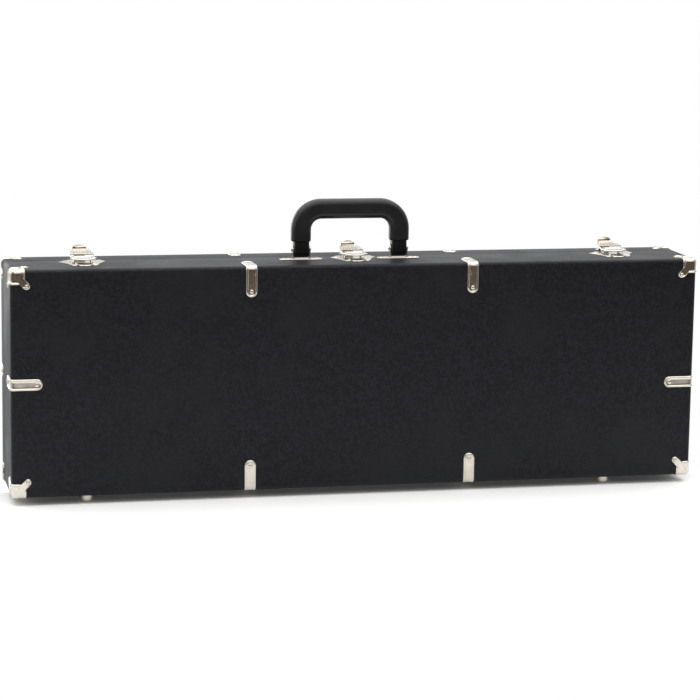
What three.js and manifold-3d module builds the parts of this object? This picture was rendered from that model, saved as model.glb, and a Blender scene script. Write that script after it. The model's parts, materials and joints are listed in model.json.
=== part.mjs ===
// Hard-shell guitar case: a covered plywood box in two halves that stands on one long side.
// The front half (the base) carries the handle and the latches, the back half is the lid.
// Millimetres. X runs along the case, -Y is the front face, +Z is up.
// The origin is on the floor, under the middle of the case.

import * as THREE from 'three';
import { mergeVertices } from 'three/addons/utils/BufferGeometryUtils.js';
import { RoundedBoxGeometry } from 'three/addons/geometries/RoundedBoxGeometry.js';
import Module from 'manifold-3d';

const wasm = await Module();
wasm.setup();

// ---------------------------------------------------------------- driving dimensions

const CASE_LENGTH = 1060;
const CASE_DEPTH = 146;
const CASE_HEIGHT = 342;        // without the feet
const SPLIT_FROM_FRONT = 98;    // where the two halves meet
const RIM_GAP = 0.6;            // between the two rims
const EDGE_RADIUS = 6;
const EDGE_SEGMENTS = 2;
const FRAME_WALL = 7;           // top, bottom and ends
const PANEL_WALL = 5;           // front and back
const GAP = 0.3;                // between pieces that touch
const FOOT_HEIGHT = 12;
const FOOT_RADIUS = 11.8;
const FOOT_FLAT_RADIUS = 6;     // of the spot it stands on
const FOOT_X = 405;
const FOOT_SHIFT = -11;         // both pairs stand a little to the left
const BASE_FOOT_FROM_FRONT = 22;
const LID_FOOT_FROM_BACK = 18;

const CORNER_SIZE = 22;         // square part of a corner cap, on each of three faces
const CORNER_TAB_RADIUS = 5.6;  // diagonal tab that holds the nail
const CORNER_TAB_CENTRE = 24;   // from both edges
const CLAMP_WIDTH = 17.5;
const CLAMP_LEG = 47;
const CLAMP_BACK_TOP_LEG = 30;  // the lid is shallow, so its clamps are short on the sides
const CLAMP_X = 171;
const LID_CLAMP_SHIFT = -2.5;   // the lid's clamps aren't quite opposite the base's
const RIGHT_CLAMP_DROP = 22;    // the right end's front clamp sits below mid height
const SHEET = 1;                // thickness of the nickel sheet

const HANDLE_CENTRE_X = -7.5;   // the handle isn't quite in the middle
const HANDLE_X = 76;            // from there to the middle of each bracket
const HANDLE_Y = -10;           // it stands in front of the latches' middles
const HANDLE_WIDTH = 183;
const HANDLE_TOP = 92.5;        // above the case
const HANDLE_GRIP = 30;         // width of the grip, seen from the front
const HANDLE_THICKNESS = 23;    // front to back
const HANDLE_ROUNDING = 9;      // radius of the grip's long edges
const HANDLE_BEND_RADIUS = 31;  // of the grip's centre line
const NECK_WIDTH = 23;
const NECK_THICKNESS = 16;
const NECK_HEIGHT = 28;         // where the grip's legs step down to the necks
const HANDLE_PIN_HEIGHT = 16;   // above the case
const HANDLE_PIN_RADIUS = 2.2;
const PIN_HEAD_RADIUS = 3.6;
const PIN_HEAD_THICKNESS = 1.6;
const BRACKET_LENGTH = 67;
const BRACKET_DEPTH = 13.6;
const BRACKET_FLOOR = 1.4;      // thickness of its base
const BRACKET_CHEEK = 1.8;      // thickness of its cheeks
const BRACKET_CHEEK_HALF = 5.5;
const BRACKET_CLEARANCE = 0.5;  // between a cheek and the handle's neck

const LATCH_SPACING = 415;
const LATCH_PIVOT_FROM_FRONT = 76;
const HASP_RAISED = 4.8;        // degrees, so that its hook is clear of the keeper

const HINGE_SPACING = 300;
const HINGE_LENGTH = 48;
const HINGE_KNUCKLE_RADIUS = 3;
const HINGE_PIN_RADIUS = 1.2;

const LINING = 3;               // on the side walls
const BED_THICKNESS = 8;        // padding on the front and back panels
const LIP_RISE = 6;             // the base's lining reaches this far into the lid

// ---------------------------------------------------------------- derived places

const FRONT = -CASE_DEPTH / 2;
const BACK = CASE_DEPTH / 2;
const SPLIT = FRONT + SPLIT_FROM_FRONT;
const BOTTOM = FOOT_HEIGHT;
const TOP = BOTTOM + CASE_HEIGHT;
const MIDDLE = (BOTTOM + TOP) / 2;
const END = CASE_LENGTH / 2;
const INSIDE_END = END - FRAME_WALL;
const INSIDE_BOTTOM = BOTTOM + FRAME_WALL;
const INSIDE_TOP = TOP - FRAME_WALL;
const BED = FRONT + PANEL_WALL + GAP + BED_THICKNESS;
const ROOF = BACK - PANEL_WALL - GAP - BED_THICKNESS;

// ---------------------------------------------------------------- materials

function finish(color, roughness, metalness) {
  return new THREE.MeshStandardMaterial({ color, roughness, metalness });
}

const vinyl = () => finish(0x1c1d20, 0.55, 0);
const nickel = () => finish(0xd8d4c8, 0.22, 1);
const blackPlastic = () => finish(0x17181c, 0.4, 0);
const plush = () => finish(0x2c2d31, 0.95, 0);
const foot = () => finish(0xcfcabd, 0.3, 1);

// ---------------------------------------------------------------- solids

function toSolid(geometry) {
  const bare = geometry.clone();
  bare.deleteAttribute('normal');
  bare.deleteAttribute('uv');
  const merged = mergeVertices(bare, 1e-4);
  return new wasm.Manifold(new wasm.Mesh({
    numProp: 3,
    vertProperties: new Float32Array(merged.attributes.position.array),
    triVerts: new Uint32Array(merged.index.array),
  }));
}

function toMesh(name, solid, material) {
  const mesh = solid.getMesh();
  const geometry = new THREE.BufferGeometry();
  geometry.setAttribute('position', new THREE.BufferAttribute(mesh.vertProperties, 3));
  geometry.setIndex(new THREE.BufferAttribute(mesh.triVerts, 1));
  geometry.computeVertexNormals();
  const result = new THREE.Mesh(geometry, material);
  result.name = name;
  return result;
}

function joined(...solids) {
  return solids.reduce((whole, next) => whole.add(next));
}

function block(x0, x1, y0, y1, z0, z1) {
  const geometry = new THREE.BoxGeometry(x1 - x0, y1 - y0, z1 - z0);
  geometry.translate((x0 + x1) / 2, (y0 + y1) / 2, (z0 + z1) / 2);
  return toSolid(geometry);
}

function rodAlongX(radius, x0, x1, y, z, sides = 12) {
  const geometry = new THREE.CylinderGeometry(radius, radius, x1 - x0, sides);
  geometry.rotateZ(Math.PI / 2);
  geometry.translate((x0 + x1) / 2, y, z);
  return toSolid(geometry);
}

function plate(outline, depth, curveSegments = 3) {
  return new THREE.ExtrudeGeometry(outline, { depth, bevelEnabled: false, curveSegments });
}

// An outline drawn in X and Z, run from y0 to y1.
function prismAlongY(outline, y0, y1, curveSegments) {
  const geometry = plate(outline, y1 - y0, curveSegments);
  geometry.rotateX(Math.PI / 2);
  geometry.translate(0, y1, 0);
  return toSolid(geometry);
}

// An outline drawn in X and Y, run from z0 to z1.
function prismAlongZ(outline, z0, z1, curveSegments) {
  const geometry = plate(outline, z1 - z0, curveSegments);
  geometry.translate(0, 0, z0);
  return toSolid(geometry);
}

// An outline drawn in Y and Z, run from x0 to x1.
function prismAlongX(outline, x0, x1, curveSegments) {
  const geometry = plate(outline, x1 - x0, curveSegments);
  geometry.rotateX(Math.PI / 2);
  geometry.rotateZ(Math.PI / 2);
  geometry.translate(x0, 0, 0);
  return toSolid(geometry);
}

function mirrored(solid, signX, signY, signZ) {
  return solid.scale([signX, signY, signZ]);
}

// The case's outer form, grown outwards on every side by the given amount.
function caseForm(grow) {
  const geometry = new RoundedBoxGeometry(
    CASE_LENGTH + 2 * grow, CASE_DEPTH + 2 * grow, CASE_HEIGHT + 2 * grow,
    EDGE_SEGMENTS, EDGE_RADIUS + grow);
  geometry.translate(0, 0, MIDDLE);
  return toSolid(geometry);
}

// Nickel sheet that lies on the case's outside.
function outerSkin() {
  return caseForm(GAP + SHEET).subtract(caseForm(GAP));
}

// ---------------------------------------------------------------- shells and lining

function baseShell() {
  const half = block(-END, END, FRONT, SPLIT - RIM_GAP / 2, BOTTOM, TOP);
  const hollow = block(-INSIDE_END, INSIDE_END, FRONT + PANEL_WALL, BACK, INSIDE_BOTTOM, INSIDE_TOP);
  return toMesh('base_shell', caseForm(0).intersect(half).subtract(hollow), vinyl());
}

function lidShell() {
  const half = block(-END, END, SPLIT + RIM_GAP / 2, BACK, BOTTOM, TOP);
  const hollow = block(-INSIDE_END, INSIDE_END, FRONT, BACK - PANEL_WALL, INSIDE_BOTTOM, INSIDE_TOP);
  return toMesh('lid_shell', caseForm(0).intersect(half).subtract(hollow), vinyl());
}

// A tray that lines one half. Its open side is at rimY and its padded bed lies on the panel.
function liningTray(name, panelY, bedY, rimY) {
  const outer = GAP;
  const inner = GAP + LINING;
  const low = Math.min(panelY, rimY);
  const high = Math.max(panelY, rimY);
  const body = block(-INSIDE_END + outer, INSIDE_END - outer, low, high,
    INSIDE_BOTTOM + outer, INSIDE_TOP - outer);
  const beyond = rimY + Math.sign(rimY - panelY);
  const hollow = block(-INSIDE_END + inner, INSIDE_END - inner,
    Math.min(bedY, beyond), Math.max(bedY, beyond), INSIDE_BOTTOM + inner, INSIDE_TOP - inner);
  return toMesh(name, body.subtract(hollow), plush());
}

function linings() {
  return [
    liningTray('base_lining', FRONT + PANEL_WALL + GAP, BED, SPLIT + LIP_RISE),
    liningTray('lid_lining', BACK - PANEL_WALL - GAP, ROOF, SPLIT + LIP_RISE + 1),
  ];
}

// ---------------------------------------------------------------- inside: neck rest and store box

const NECK_REST_X = -215;
const NECK_REST_WIDTH = 70;
const NECK_REST_HALF_HEIGHT = 74;
const NECK_REST_TOP = BED + 54;
const NECK_REST_SLOPE = 14;     // its ends lean in by this much
const NECK_NOTCH_RADIUS = 31;

function neckRest() {
  const outline = new THREE.Shape();
  const low = MIDDLE - NECK_REST_HALF_HEIGHT;
  const high = MIDDLE + NECK_REST_HALF_HEIGHT;
  outline.moveTo(BED + GAP, low);
  outline.lineTo(NECK_REST_TOP, low + NECK_REST_SLOPE);
  outline.lineTo(NECK_REST_TOP, MIDDLE - NECK_NOTCH_RADIUS);
  outline.absarc(NECK_REST_TOP, MIDDLE, NECK_NOTCH_RADIUS, -Math.PI / 2, Math.PI / 2, true);
  outline.lineTo(NECK_REST_TOP, high - NECK_REST_SLOPE);
  outline.lineTo(BED + GAP, high);
  const x0 = NECK_REST_X - NECK_REST_WIDTH / 2;
  return toMesh('neck_rest', prismAlongX(outline, x0, x0 + NECK_REST_WIDTH, 6), plush());
}

const STORE_X0 = -168;
const STORE_X1 = 12;
const STORE_BOTTOM = INSIDE_BOTTOM + GAP + LINING + GAP;
const STORE_HEIGHT = 60;        // low enough for its flap to open inside the closed case
const STORE_TOP = STORE_BOTTOM + STORE_HEIGHT;
const STORE_DEPTH = 50;
const STORE_MOUTH = BED + GAP + STORE_DEPTH;
const STORE_WALL = 5;
const STORE_LID_THICKNESS = 5;
const STORE_HINGE_Y = STORE_MOUTH + GAP + STORE_LID_THICKNESS / 2;
const STORE_HINGE_Z = STORE_TOP - STORE_LID_THICKNESS / 2;

function storeBox() {
  const body = block(STORE_X0, STORE_X1, BED + GAP, STORE_MOUTH, STORE_BOTTOM, STORE_TOP);
  const hollow = block(STORE_X0 + STORE_WALL, STORE_X1 - STORE_WALL, BED + GAP + STORE_WALL,
    STORE_MOUTH + 1, STORE_BOTTOM + STORE_WALL, STORE_TOP - STORE_WALL);
  return toMesh('store_box', body.subtract(hollow), plush());
}

// A padded flap that hangs from its top edge, which is rounded about the hinge line.
function storeLid() {
  const flap = block(STORE_X0 + 1, STORE_X1 - 1, STORE_MOUTH + GAP,
    STORE_MOUTH + GAP + STORE_LID_THICKNESS, STORE_BOTTOM + 1, STORE_HINGE_Z);
  const roll = rodAlongX(STORE_LID_THICKNESS / 2, STORE_X0 + 1, STORE_X1 - 1,
    STORE_HINGE_Y, STORE_HINGE_Z);
  return toMesh('store_lid', flap.add(roll), plush());
}

// ---------------------------------------------------------------- corner caps

// Outline of a cap on one face, with the case's corner at the origin.
function cornerOutline() {
  const outline = new THREE.Shape();
  const out = -2 * SHEET;
  const shoulder = CORNER_SIZE - CORNER_TAB_RADIUS * Math.SQRT2;
  outline.moveTo(out, out);
  outline.lineTo(CORNER_SIZE, out);
  outline.lineTo(CORNER_SIZE, shoulder);
  outline.absarc(CORNER_TAB_CENTRE, CORNER_TAB_CENTRE, CORNER_TAB_RADIUS,
    -Math.PI / 4, 3 * Math.PI / 4, false);
  outline.lineTo(shoulder, CORNER_SIZE);
  outline.lineTo(out, CORNER_SIZE);
  return outline;
}

// A cap drawn on the low, left, front corner and mirrored to the others about the middle.
function cornerCap(name, signX, signY, signZ) {
  const outline = cornerOutline();
  const out = -2 * SHEET;
  const faces = joined(
    prismAlongY(outline, out, CORNER_SIZE),
    prismAlongZ(outline, out, CORNER_SIZE),
    prismAlongX(outline, out, CORNER_SIZE));
  const placed = faces.translate([-END, FRONT, BOTTOM - MIDDLE]);
  const reach = mirrored(placed, signX, signY, signZ).translate([0, 0, MIDDLE]);
  return toMesh(name, outerSkin().intersect(reach), nickel());
}

function cornerCaps() {
  const caps = [];
  for (const [half, signY] of [['base', 1], ['lid', -1]]) {
    for (const [level, signZ] of [['bottom', 1], ['top', -1]]) {
      for (const [side, signX] of [['left', 1], ['right', -1]]) {
        caps.push(cornerCap(`${half}_corner_${level}_${side}`, signX, signY, signZ));
      }
    }
  }
  return caps;
}

// ---------------------------------------------------------------- edge clamps

// A strip with one round end: it starts at the case's edge and runs inwards by its leg.
function clampOutline(leg) {
  const outline = new THREE.Shape();
  const half = CLAMP_WIDTH / 2;
  outline.moveTo(-half, -2 * SHEET);
  outline.lineTo(half, -2 * SHEET);
  outline.lineTo(half, leg - half);
  outline.absarc(0, leg - half, half, 0, Math.PI, false);
  return outline;
}

// Both legs of a clamp as the space they take, with the case's edge along X at the origin.
// The first leg runs up along Z on the face, the second back along Y on the side.
function clampReach(faceLeg, sideLeg) {
  const face = prismAlongY(clampOutline(faceLeg), -2 * SHEET, sideLeg, 5);
  const side = prismAlongZ(clampOutline(sideLeg), -2 * SHEET, faceLeg, 5);
  return face.intersect(side);
}

// A clamp across a long edge, at the top or the bottom of the front or the back.
function longEdgeClamp(name, x, signY, signZ, sideLeg) {
  const atEdge = clampReach(CLAMP_LEG, sideLeg).translate([0, FRONT, BOTTOM - MIDDLE]);
  const reach = mirrored(atEdge, 1, signY, signZ).translate([x, 0, MIDDLE]);
  return toMesh(name, outerSkin().intersect(reach), nickel());
}

// A clamp across an end's edge, which is the same piece turned on its side.
function endClamp(name, signX, signY, z, sideLeg) {
  const turned = clampReach(CLAMP_LEG, sideLeg).rotate([0, 90, 0]).translate([-END, FRONT, 0]);
  const reach = mirrored(turned, signX, signY, 1).translate([0, 0, z]);
  return toMesh(name, outerSkin().intersect(reach), nickel());
}

function clamps() {
  const rightFrontZ = MIDDLE - RIGHT_CLAMP_DROP;
  const set = [
    endClamp('base_clamp_end_left', 1, 1, MIDDLE, CLAMP_LEG),
    endClamp('base_clamp_end_right', -1, 1, rightFrontZ, CLAMP_LEG),
    endClamp('lid_clamp_end_left', 1, -1, MIDDLE, CLAMP_BACK_TOP_LEG),
    endClamp('lid_clamp_end_right', -1, -1, MIDDLE, CLAMP_BACK_TOP_LEG),
  ];
  for (const [side, x] of [['left', -CLAMP_X], ['right', CLAMP_X]]) {
    for (const [level, signZ] of [['bottom', 1], ['top', -1]]) {
      set.push(longEdgeClamp(`base_clamp_${level}_${side}`, x, 1, signZ, CLAMP_LEG));
      set.push(longEdgeClamp(`lid_clamp_${level}_${side}`, x + LID_CLAMP_SHIFT, -1, signZ,
        CLAMP_BACK_TOP_LEG));
    }
  }
  return set;
}

// ---------------------------------------------------------------- latches

// Each latch has a scalloped plate with two ears and a pin, a lever on that pin, a hasp on the
// lever's own pin, and a keeper on the lid. Places are from the lever's pin unless they say
// otherwise: the pin is PIVOT_HEIGHT above the case.

const PIVOT_HEIGHT = 6.4;
const LATCH_PIN_RADIUS = 1.2;
const LATCH_BORE_RADIUS = 1.55;
const LATCH_SHEET = 1.2;
const ESCUTCHEON_HALF_WIDTH = 35;
const ESCUTCHEON_FRONT_REACH = 46;  // the tips are level with the pin, the front lobe reaches far
const ESCUTCHEON_BACK_REACH = 20;
const EAR_INSIDE = 11.5;
const EAR_THICKNESS = 1.5;
const EAR_HEAD_RADIUS = 2.6;
const EAR_FOOT_HALF = 4.2;
const LEVER_CHEEK_INSIDE = 14.4;
const LEVER_HALF_WIDTH = 15.8;
const LEVER_BACK = -4;
const LEVER_WIDENS = -14;       // from here to the lip's widest place
const LEVER_HEAD_RADIUS = 2.9;
const LIP_HALF_WIDTH = 20;
const LIP_WIDEST = -17;
const LIP_REACH = 28;
const LEVER_DROOP = 5;          // degrees that the lever's top slopes down to its lip
const LEVER_UNDERSIDE = 1.8;
const HASP_PIN = { y: -8.2, z: -0.1 };  // on the lever
const HASP_EYE_RADIUS = 2.4;
const HASP_ARM_INSIDE = 16.5;
const HASP_ARM_THICKNESS = 1.5;
const HASP_TONGUE_START = 15;   // places on the hasp are from its own pin
const HASP_TAPER = 28;
const HASP_REACH = 44.5;
const HASP_UNDERSIDE = 4;       // at its hook
const TONGUE_SLOPE = 3.4;       // degrees that the tongue rises to its hook
const HASP_END_HALF_WIDTH = 10.5;
const HASP_HOOK_DEPTH = 3;
const HASP_TAB_RISE = 5.4;
const KEEPER_FRONT = 33.5;      // from the lever's pin
const KEEPER_LENGTH = 18;
const KEEPER_SHOULDER = 6;
const KEEPER_LIP_TOP = 9.2;     // above the case
const KEEPER_HALF_WIDTH = 14;
const KEEPER_LIP_HALF_WIDTH = 8.5;

// A scalloped outline with a pointed tip at each side, a lobe beside each tip and a middle lobe.
function escutcheonOutline() {
  const width = ESCUTCHEON_HALF_WIDTH;
  const outline = new THREE.Shape();
  const curve = (sx, reach, cx, cy, x, y) => outline.quadraticCurveTo(
    sx * cx * width, reach * cy, sx * x * width, reach * y);
  const fromMiddleToTip = (sx, reach) => {
    curve(sx, reach, 0.22, 1, 0.3, 0.8);
    curve(sx, reach, 0.42, 1.05, 0.6, 0.72);
    curve(sx, reach, 0.64, 0.42, 1, 0);
  };
  const fromTipToMiddle = (sx, reach) => {
    curve(sx, reach, 0.64, 0.42, 0.6, 0.72);
    curve(sx, reach, 0.42, 1.05, 0.3, 0.8);
    curve(sx, reach, 0.22, 1, 0, 1);
  };
  outline.moveTo(0, -ESCUTCHEON_FRONT_REACH);
  fromMiddleToTip(1, -ESCUTCHEON_FRONT_REACH);
  fromTipToMiddle(1, ESCUTCHEON_BACK_REACH);
  fromMiddleToTip(-1, ESCUTCHEON_BACK_REACH);
  fromTipToMiddle(-1, -ESCUTCHEON_FRONT_REACH);
  return outline;
}

// An ear: a plate with a round head about the pin, standing on a wider foot.
function earOutline() {
  const outline = new THREE.Shape();
  const footZ = -PIVOT_HEIGHT + GAP + LATCH_SHEET / 2;
  outline.moveTo(-EAR_FOOT_HALF, footZ);
  outline.lineTo(EAR_FOOT_HALF, footZ);
  outline.lineTo(EAR_HEAD_RADIUS, 0);
  outline.absarc(0, 0, EAR_HEAD_RADIUS, 0, Math.PI, false);
  return outline;
}

function latchPlate() {
  const floor = -PIVOT_HEIGHT + GAP;
  const ear = earOutline();
  const pinEnd = LEVER_HALF_WIDTH + GAP;
  return joined(
    prismAlongZ(escutcheonOutline(), floor, floor + LATCH_SHEET, 4),
    prismAlongX(ear, -EAR_INSIDE - EAR_THICKNESS, -EAR_INSIDE),
    prismAlongX(ear, EAR_INSIDE, EAR_INSIDE + EAR_THICKNESS),
    rodAlongX(LATCH_PIN_RADIUS, -pinEnd, pinEnd, 0, 0));
}

// The lever's top: straight sides at the back and a wide round lip at the front.
function leverOutline() {
  const half = LEVER_HALF_WIDTH;
  const lip = LIP_HALF_WIDTH;
  const outline = new THREE.Shape();
  outline.moveTo(-half, LEVER_BACK);
  outline.lineTo(-half, LEVER_WIDENS);
  outline.quadraticCurveTo(-lip, LEVER_WIDENS, -lip, LIP_WIDEST);
  outline.quadraticCurveTo(-0.75 * lip, -LIP_REACH, 0, -LIP_REACH);
  outline.quadraticCurveTo(0.75 * lip, -LIP_REACH, lip, LIP_WIDEST);
  outline.quadraticCurveTo(lip, LEVER_WIDENS, half, LEVER_WIDENS);
  outline.lineTo(half, LEVER_BACK);
  return outline;
}

// Side of the lever: it holds both pins and joins them to the lever's top.
function leverCheekOutline() {
  const outline = new THREE.Shape();
  const top = LEVER_UNDERSIDE + LATCH_SHEET / 2;
  outline.moveTo(0, -LEVER_HEAD_RADIUS);
  outline.absarc(0, 0, LEVER_HEAD_RADIUS, -Math.PI / 2, Math.PI / 4, false);
  outline.lineTo(LEVER_BACK, top);
  outline.lineTo(HASP_PIN.y - HASP_EYE_RADIUS, top);
  outline.absarc(HASP_PIN.y, HASP_PIN.z, HASP_EYE_RADIUS, Math.PI, 3 * Math.PI / 2, false);
  return outline;
}

function latchLever() {
  const cheek = leverCheekOutline();
  const top = prismAlongZ(leverOutline(), LEVER_UNDERSIDE, LEVER_UNDERSIDE + LATCH_SHEET);
  const solid = joined(
    top.rotate([LEVER_DROOP, 0, 0]),
    prismAlongX(cheek, -LEVER_HALF_WIDTH, -LEVER_CHEEK_INSIDE),
    prismAlongX(cheek, LEVER_CHEEK_INSIDE, LEVER_HALF_WIDTH));
  const bore = rodAlongX(LATCH_BORE_RADIUS, -LIP_HALF_WIDTH, LIP_HALF_WIDTH, 0, 0);
  const pinEnd = HASP_ARM_INSIDE + HASP_ARM_THICKNESS + LATCH_SHEET / 2;
  const pin = rodAlongX(LATCH_PIN_RADIUS, -pinEnd, pinEnd, HASP_PIN.y, HASP_PIN.z);
  return solid.subtract(bore).add(pin);
}

// Side view of one of the hasp's two arms, from its eye up to the tongue.
function haspArmOutline() {
  const eye = HASP_EYE_RADIUS;
  const start = HASP_TONGUE_START;
  const drop = (HASP_REACH - start) * Math.tan(THREE.MathUtils.degToRad(TONGUE_SLOPE));
  const underside = HASP_UNDERSIDE - drop;
  const arm = new THREE.Shape();
  arm.moveTo(0, -eye);
  arm.quadraticCurveTo(start / 2, -eye, start + LATCH_SHEET, underside + LATCH_SHEET / 2);
  arm.lineTo(start - LATCH_SHEET, underside + LATCH_SHEET);
  arm.quadraticCurveTo(HASP_TONGUE_START / 2, eye, 0, eye);
  arm.absarc(0, 0, eye, Math.PI / 2, 3 * Math.PI / 2, false);
  return arm;
}

function haspTongueOutline() {
  const outside = HASP_ARM_INSIDE + HASP_ARM_THICKNESS;
  const start = HASP_TONGUE_START - LATCH_SHEET;
  const tongue = new THREE.Shape();
  tongue.moveTo(-outside, start);
  tongue.lineTo(outside, start);
  tongue.quadraticCurveTo(outside, HASP_TAPER, HASP_END_HALF_WIDTH, HASP_REACH);
  tongue.lineTo(-HASP_END_HALF_WIDTH, HASP_REACH);
  tongue.quadraticCurveTo(-outside, HASP_TAPER, -outside, start);
  return tongue;
}

// The tongue's end seen from the back: the hook hangs below and a round finger tab stands up.
function haspEndOutline() {
  const half = HASP_END_HALF_WIDTH;
  const low = HASP_UNDERSIDE - HASP_HOOK_DEPTH;
  const shoulder = HASP_UNDERSIDE + LATCH_SHEET + HASP_TAB_RISE / 2;
  const tab = new THREE.Shape();
  tab.moveTo(-half, low);
  tab.lineTo(half, low);
  tab.lineTo(half, shoulder);
  tab.quadraticCurveTo(0, shoulder + HASP_TAB_RISE, -half, shoulder);
  return tab;
}

function latchHasp() {
  const outside = HASP_ARM_INSIDE + HASP_ARM_THICKNESS;
  const arm = haspArmOutline();
  const tongue = prismAlongZ(haspTongueOutline(), 0, LATCH_SHEET)
    .translate([0, -HASP_REACH, 0])
    .rotate([TONGUE_SLOPE, 0, 0])
    .translate([0, HASP_REACH, HASP_UNDERSIDE]);
  const solid = joined(
    prismAlongX(arm, -outside, -HASP_ARM_INSIDE),
    prismAlongX(arm, HASP_ARM_INSIDE, outside),
    tongue,
    prismAlongY(haspEndOutline(), HASP_REACH - LATCH_SHEET, HASP_REACH));
  return solid.subtract(rodAlongX(LATCH_BORE_RADIUS, -2 * outside, 2 * outside, 0, 0));
}

// A plate with a round back and, at its front, an upright lip for the hasp's hook.
function latchKeeper() {
  const floor = -PIVOT_HEIGHT + GAP;
  const half = KEEPER_HALF_WIDTH;
  const end = KEEPER_FRONT + KEEPER_LENGTH;
  const outline = new THREE.Shape();
  outline.moveTo(-half, KEEPER_FRONT);
  outline.lineTo(half, KEEPER_FRONT);
  outline.lineTo(0.86 * half, KEEPER_FRONT + KEEPER_SHOULDER);
  outline.quadraticCurveTo(0.72 * half, end, 0, end);
  outline.quadraticCurveTo(-0.72 * half, end, -0.86 * half, KEEPER_FRONT + KEEPER_SHOULDER);
  return joined(
    prismAlongZ(outline, floor, floor + LATCH_SHEET),
    block(-KEEPER_LIP_HALF_WIDTH, KEEPER_LIP_HALF_WIDTH, KEEPER_FRONT,
      KEEPER_FRONT + LATCH_SHEET, floor, KEEPER_LIP_TOP - PIVOT_HEIGHT));
}

// One latch as a small scene graph: the lever turns on the plate and the hasp on the lever.
function latch(name, x) {
  const frame = new THREE.Group();
  frame.position.set(x, FRONT + LATCH_PIVOT_FROM_FRONT, TOP + PIVOT_HEIGHT);
  frame.add(toMesh(`${name}_plate`, latchPlate(), nickel()));
  frame.add(toMesh(`${name}_keeper`, latchKeeper(), nickel()));
  frame.add(toMesh(`${name}_lever`, latchLever(), nickel()));
  const haspPivot = new THREE.Group();
  haspPivot.position.set(0, HASP_PIN.y, HASP_PIN.z);
  haspPivot.rotation.x = THREE.MathUtils.degToRad(HASP_RAISED);
  haspPivot.add(toMesh(`${name}_hasp`, latchHasp(), nickel()));
  frame.add(haspPivot);
  return frame;
}

function latches() {
  return [
    latch('latch_left', -LATCH_SPACING),
    latch('latch_middle', 0),
    latch('latch_right', LATCH_SPACING),
  ];
}

// ---------------------------------------------------------------- handle

const GRIP_CENTRE_X = (HANDLE_WIDTH - HANDLE_GRIP) / 2;
const GRIP_CENTRE_Z = TOP + HANDLE_TOP - HANDLE_GRIP / 2;
const HANDLE_PIN_Z = TOP + HANDLE_PIN_HEIGHT;
const NECK_DROP = 4.5;          // centre of the neck's round end, below the pin
const CHEEK_INSIDE = NECK_WIDTH / 2 + BRACKET_CLEARANCE;
const CHEEK_OUTSIDE = CHEEK_INSIDE + BRACKET_CHEEK;

// The section's first axis is front to back and its second is across the grip.
function gripSection() {
  const width = HANDLE_THICKNESS / 2 - HANDLE_ROUNDING;
  const thickness = HANDLE_GRIP / 2 - HANDLE_ROUNDING;
  const section = new THREE.Shape();
  section.absarc(width, -thickness, HANDLE_ROUNDING, -Math.PI / 2, 0, false);
  section.absarc(width, thickness, HANDLE_ROUNDING, 0, Math.PI / 2, false);
  section.absarc(-width, thickness, HANDLE_ROUNDING, Math.PI / 2, Math.PI, false);
  section.absarc(-width, -thickness, HANDLE_ROUNDING, Math.PI, 1.5 * Math.PI, false);
  section.closePath();
  return section;
}

// Up one leg, round the bend, across and down the other leg.
class GripPath extends THREE.Curve {
  getPoint(t) {
    const legStart = TOP + NECK_HEIGHT;
    const leg = GRIP_CENTRE_Z - HANDLE_BEND_RADIUS - legStart;
    const bend = HANDLE_BEND_RADIUS * Math.PI / 2;
    const across = 2 * (GRIP_CENTRE_X - HANDLE_BEND_RADIUS);
    const total = 2 * leg + 2 * bend + across;
    const side = t < 0.5 ? -1 : 1;
    const along = Math.min(t, 1 - t) * total;
    if (along < leg) {
      return new THREE.Vector3(side * GRIP_CENTRE_X, 0, legStart + along);
    }
    if (along < leg + bend) {
      const angle = (along - leg) / HANDLE_BEND_RADIUS;
      return new THREE.Vector3(
        side * (GRIP_CENTRE_X - HANDLE_BEND_RADIUS + HANDLE_BEND_RADIUS * Math.cos(angle)), 0,
        legStart + leg + HANDLE_BEND_RADIUS * Math.sin(angle));
    }
    const left = along - leg - bend;
    return new THREE.Vector3(side * (across / 2 - left), 0, GRIP_CENTRE_Z);
  }
}

// The neck that goes into the bracket. Its low end is round, so that it turns on its pin.
function neck(x) {
  const outline = new THREE.Shape();
  const half = NECK_THICKNESS / 2;
  const low = HANDLE_PIN_Z - NECK_DROP;
  const high = TOP + NECK_HEIGHT + 2;
  outline.moveTo(half, low);
  outline.lineTo(half, high);
  outline.lineTo(-half, high);
  outline.lineTo(-half, low);
  outline.absarc(0, low, half, Math.PI, 2 * Math.PI, false);
  return prismAlongX(outline, x - NECK_WIDTH / 2, x + NECK_WIDTH / 2, 4);
}

function handleGrip() {
  const grip = toSolid(new THREE.ExtrudeGeometry(gripSection(), {
    steps: 28, curveSegments: 2, bevelEnabled: false, extrudePath: new GripPath(),
  }));
  const bore = rodAlongX(HANDLE_PIN_RADIUS + GAP, -HANDLE_WIDTH, HANDLE_WIDTH, 0, HANDLE_PIN_Z);
  const solid = joined(grip, neck(-HANDLE_X), neck(HANDLE_X)).subtract(bore);
  return toMesh('handle_grip', solid, blackPlastic());
}

function bracketFloorOutline() {
  const half = BRACKET_DEPTH / 2;
  const straight = BRACKET_LENGTH / 2 - half;
  const outline = new THREE.Shape();
  outline.moveTo(-straight, -half);
  outline.lineTo(straight, -half);
  outline.absarc(straight, 0, half, -Math.PI / 2, Math.PI / 2, false);
  outline.lineTo(-straight, half);
  outline.absarc(-straight, 0, half, Math.PI / 2, 1.5 * Math.PI, false);
  return outline;
}

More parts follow.
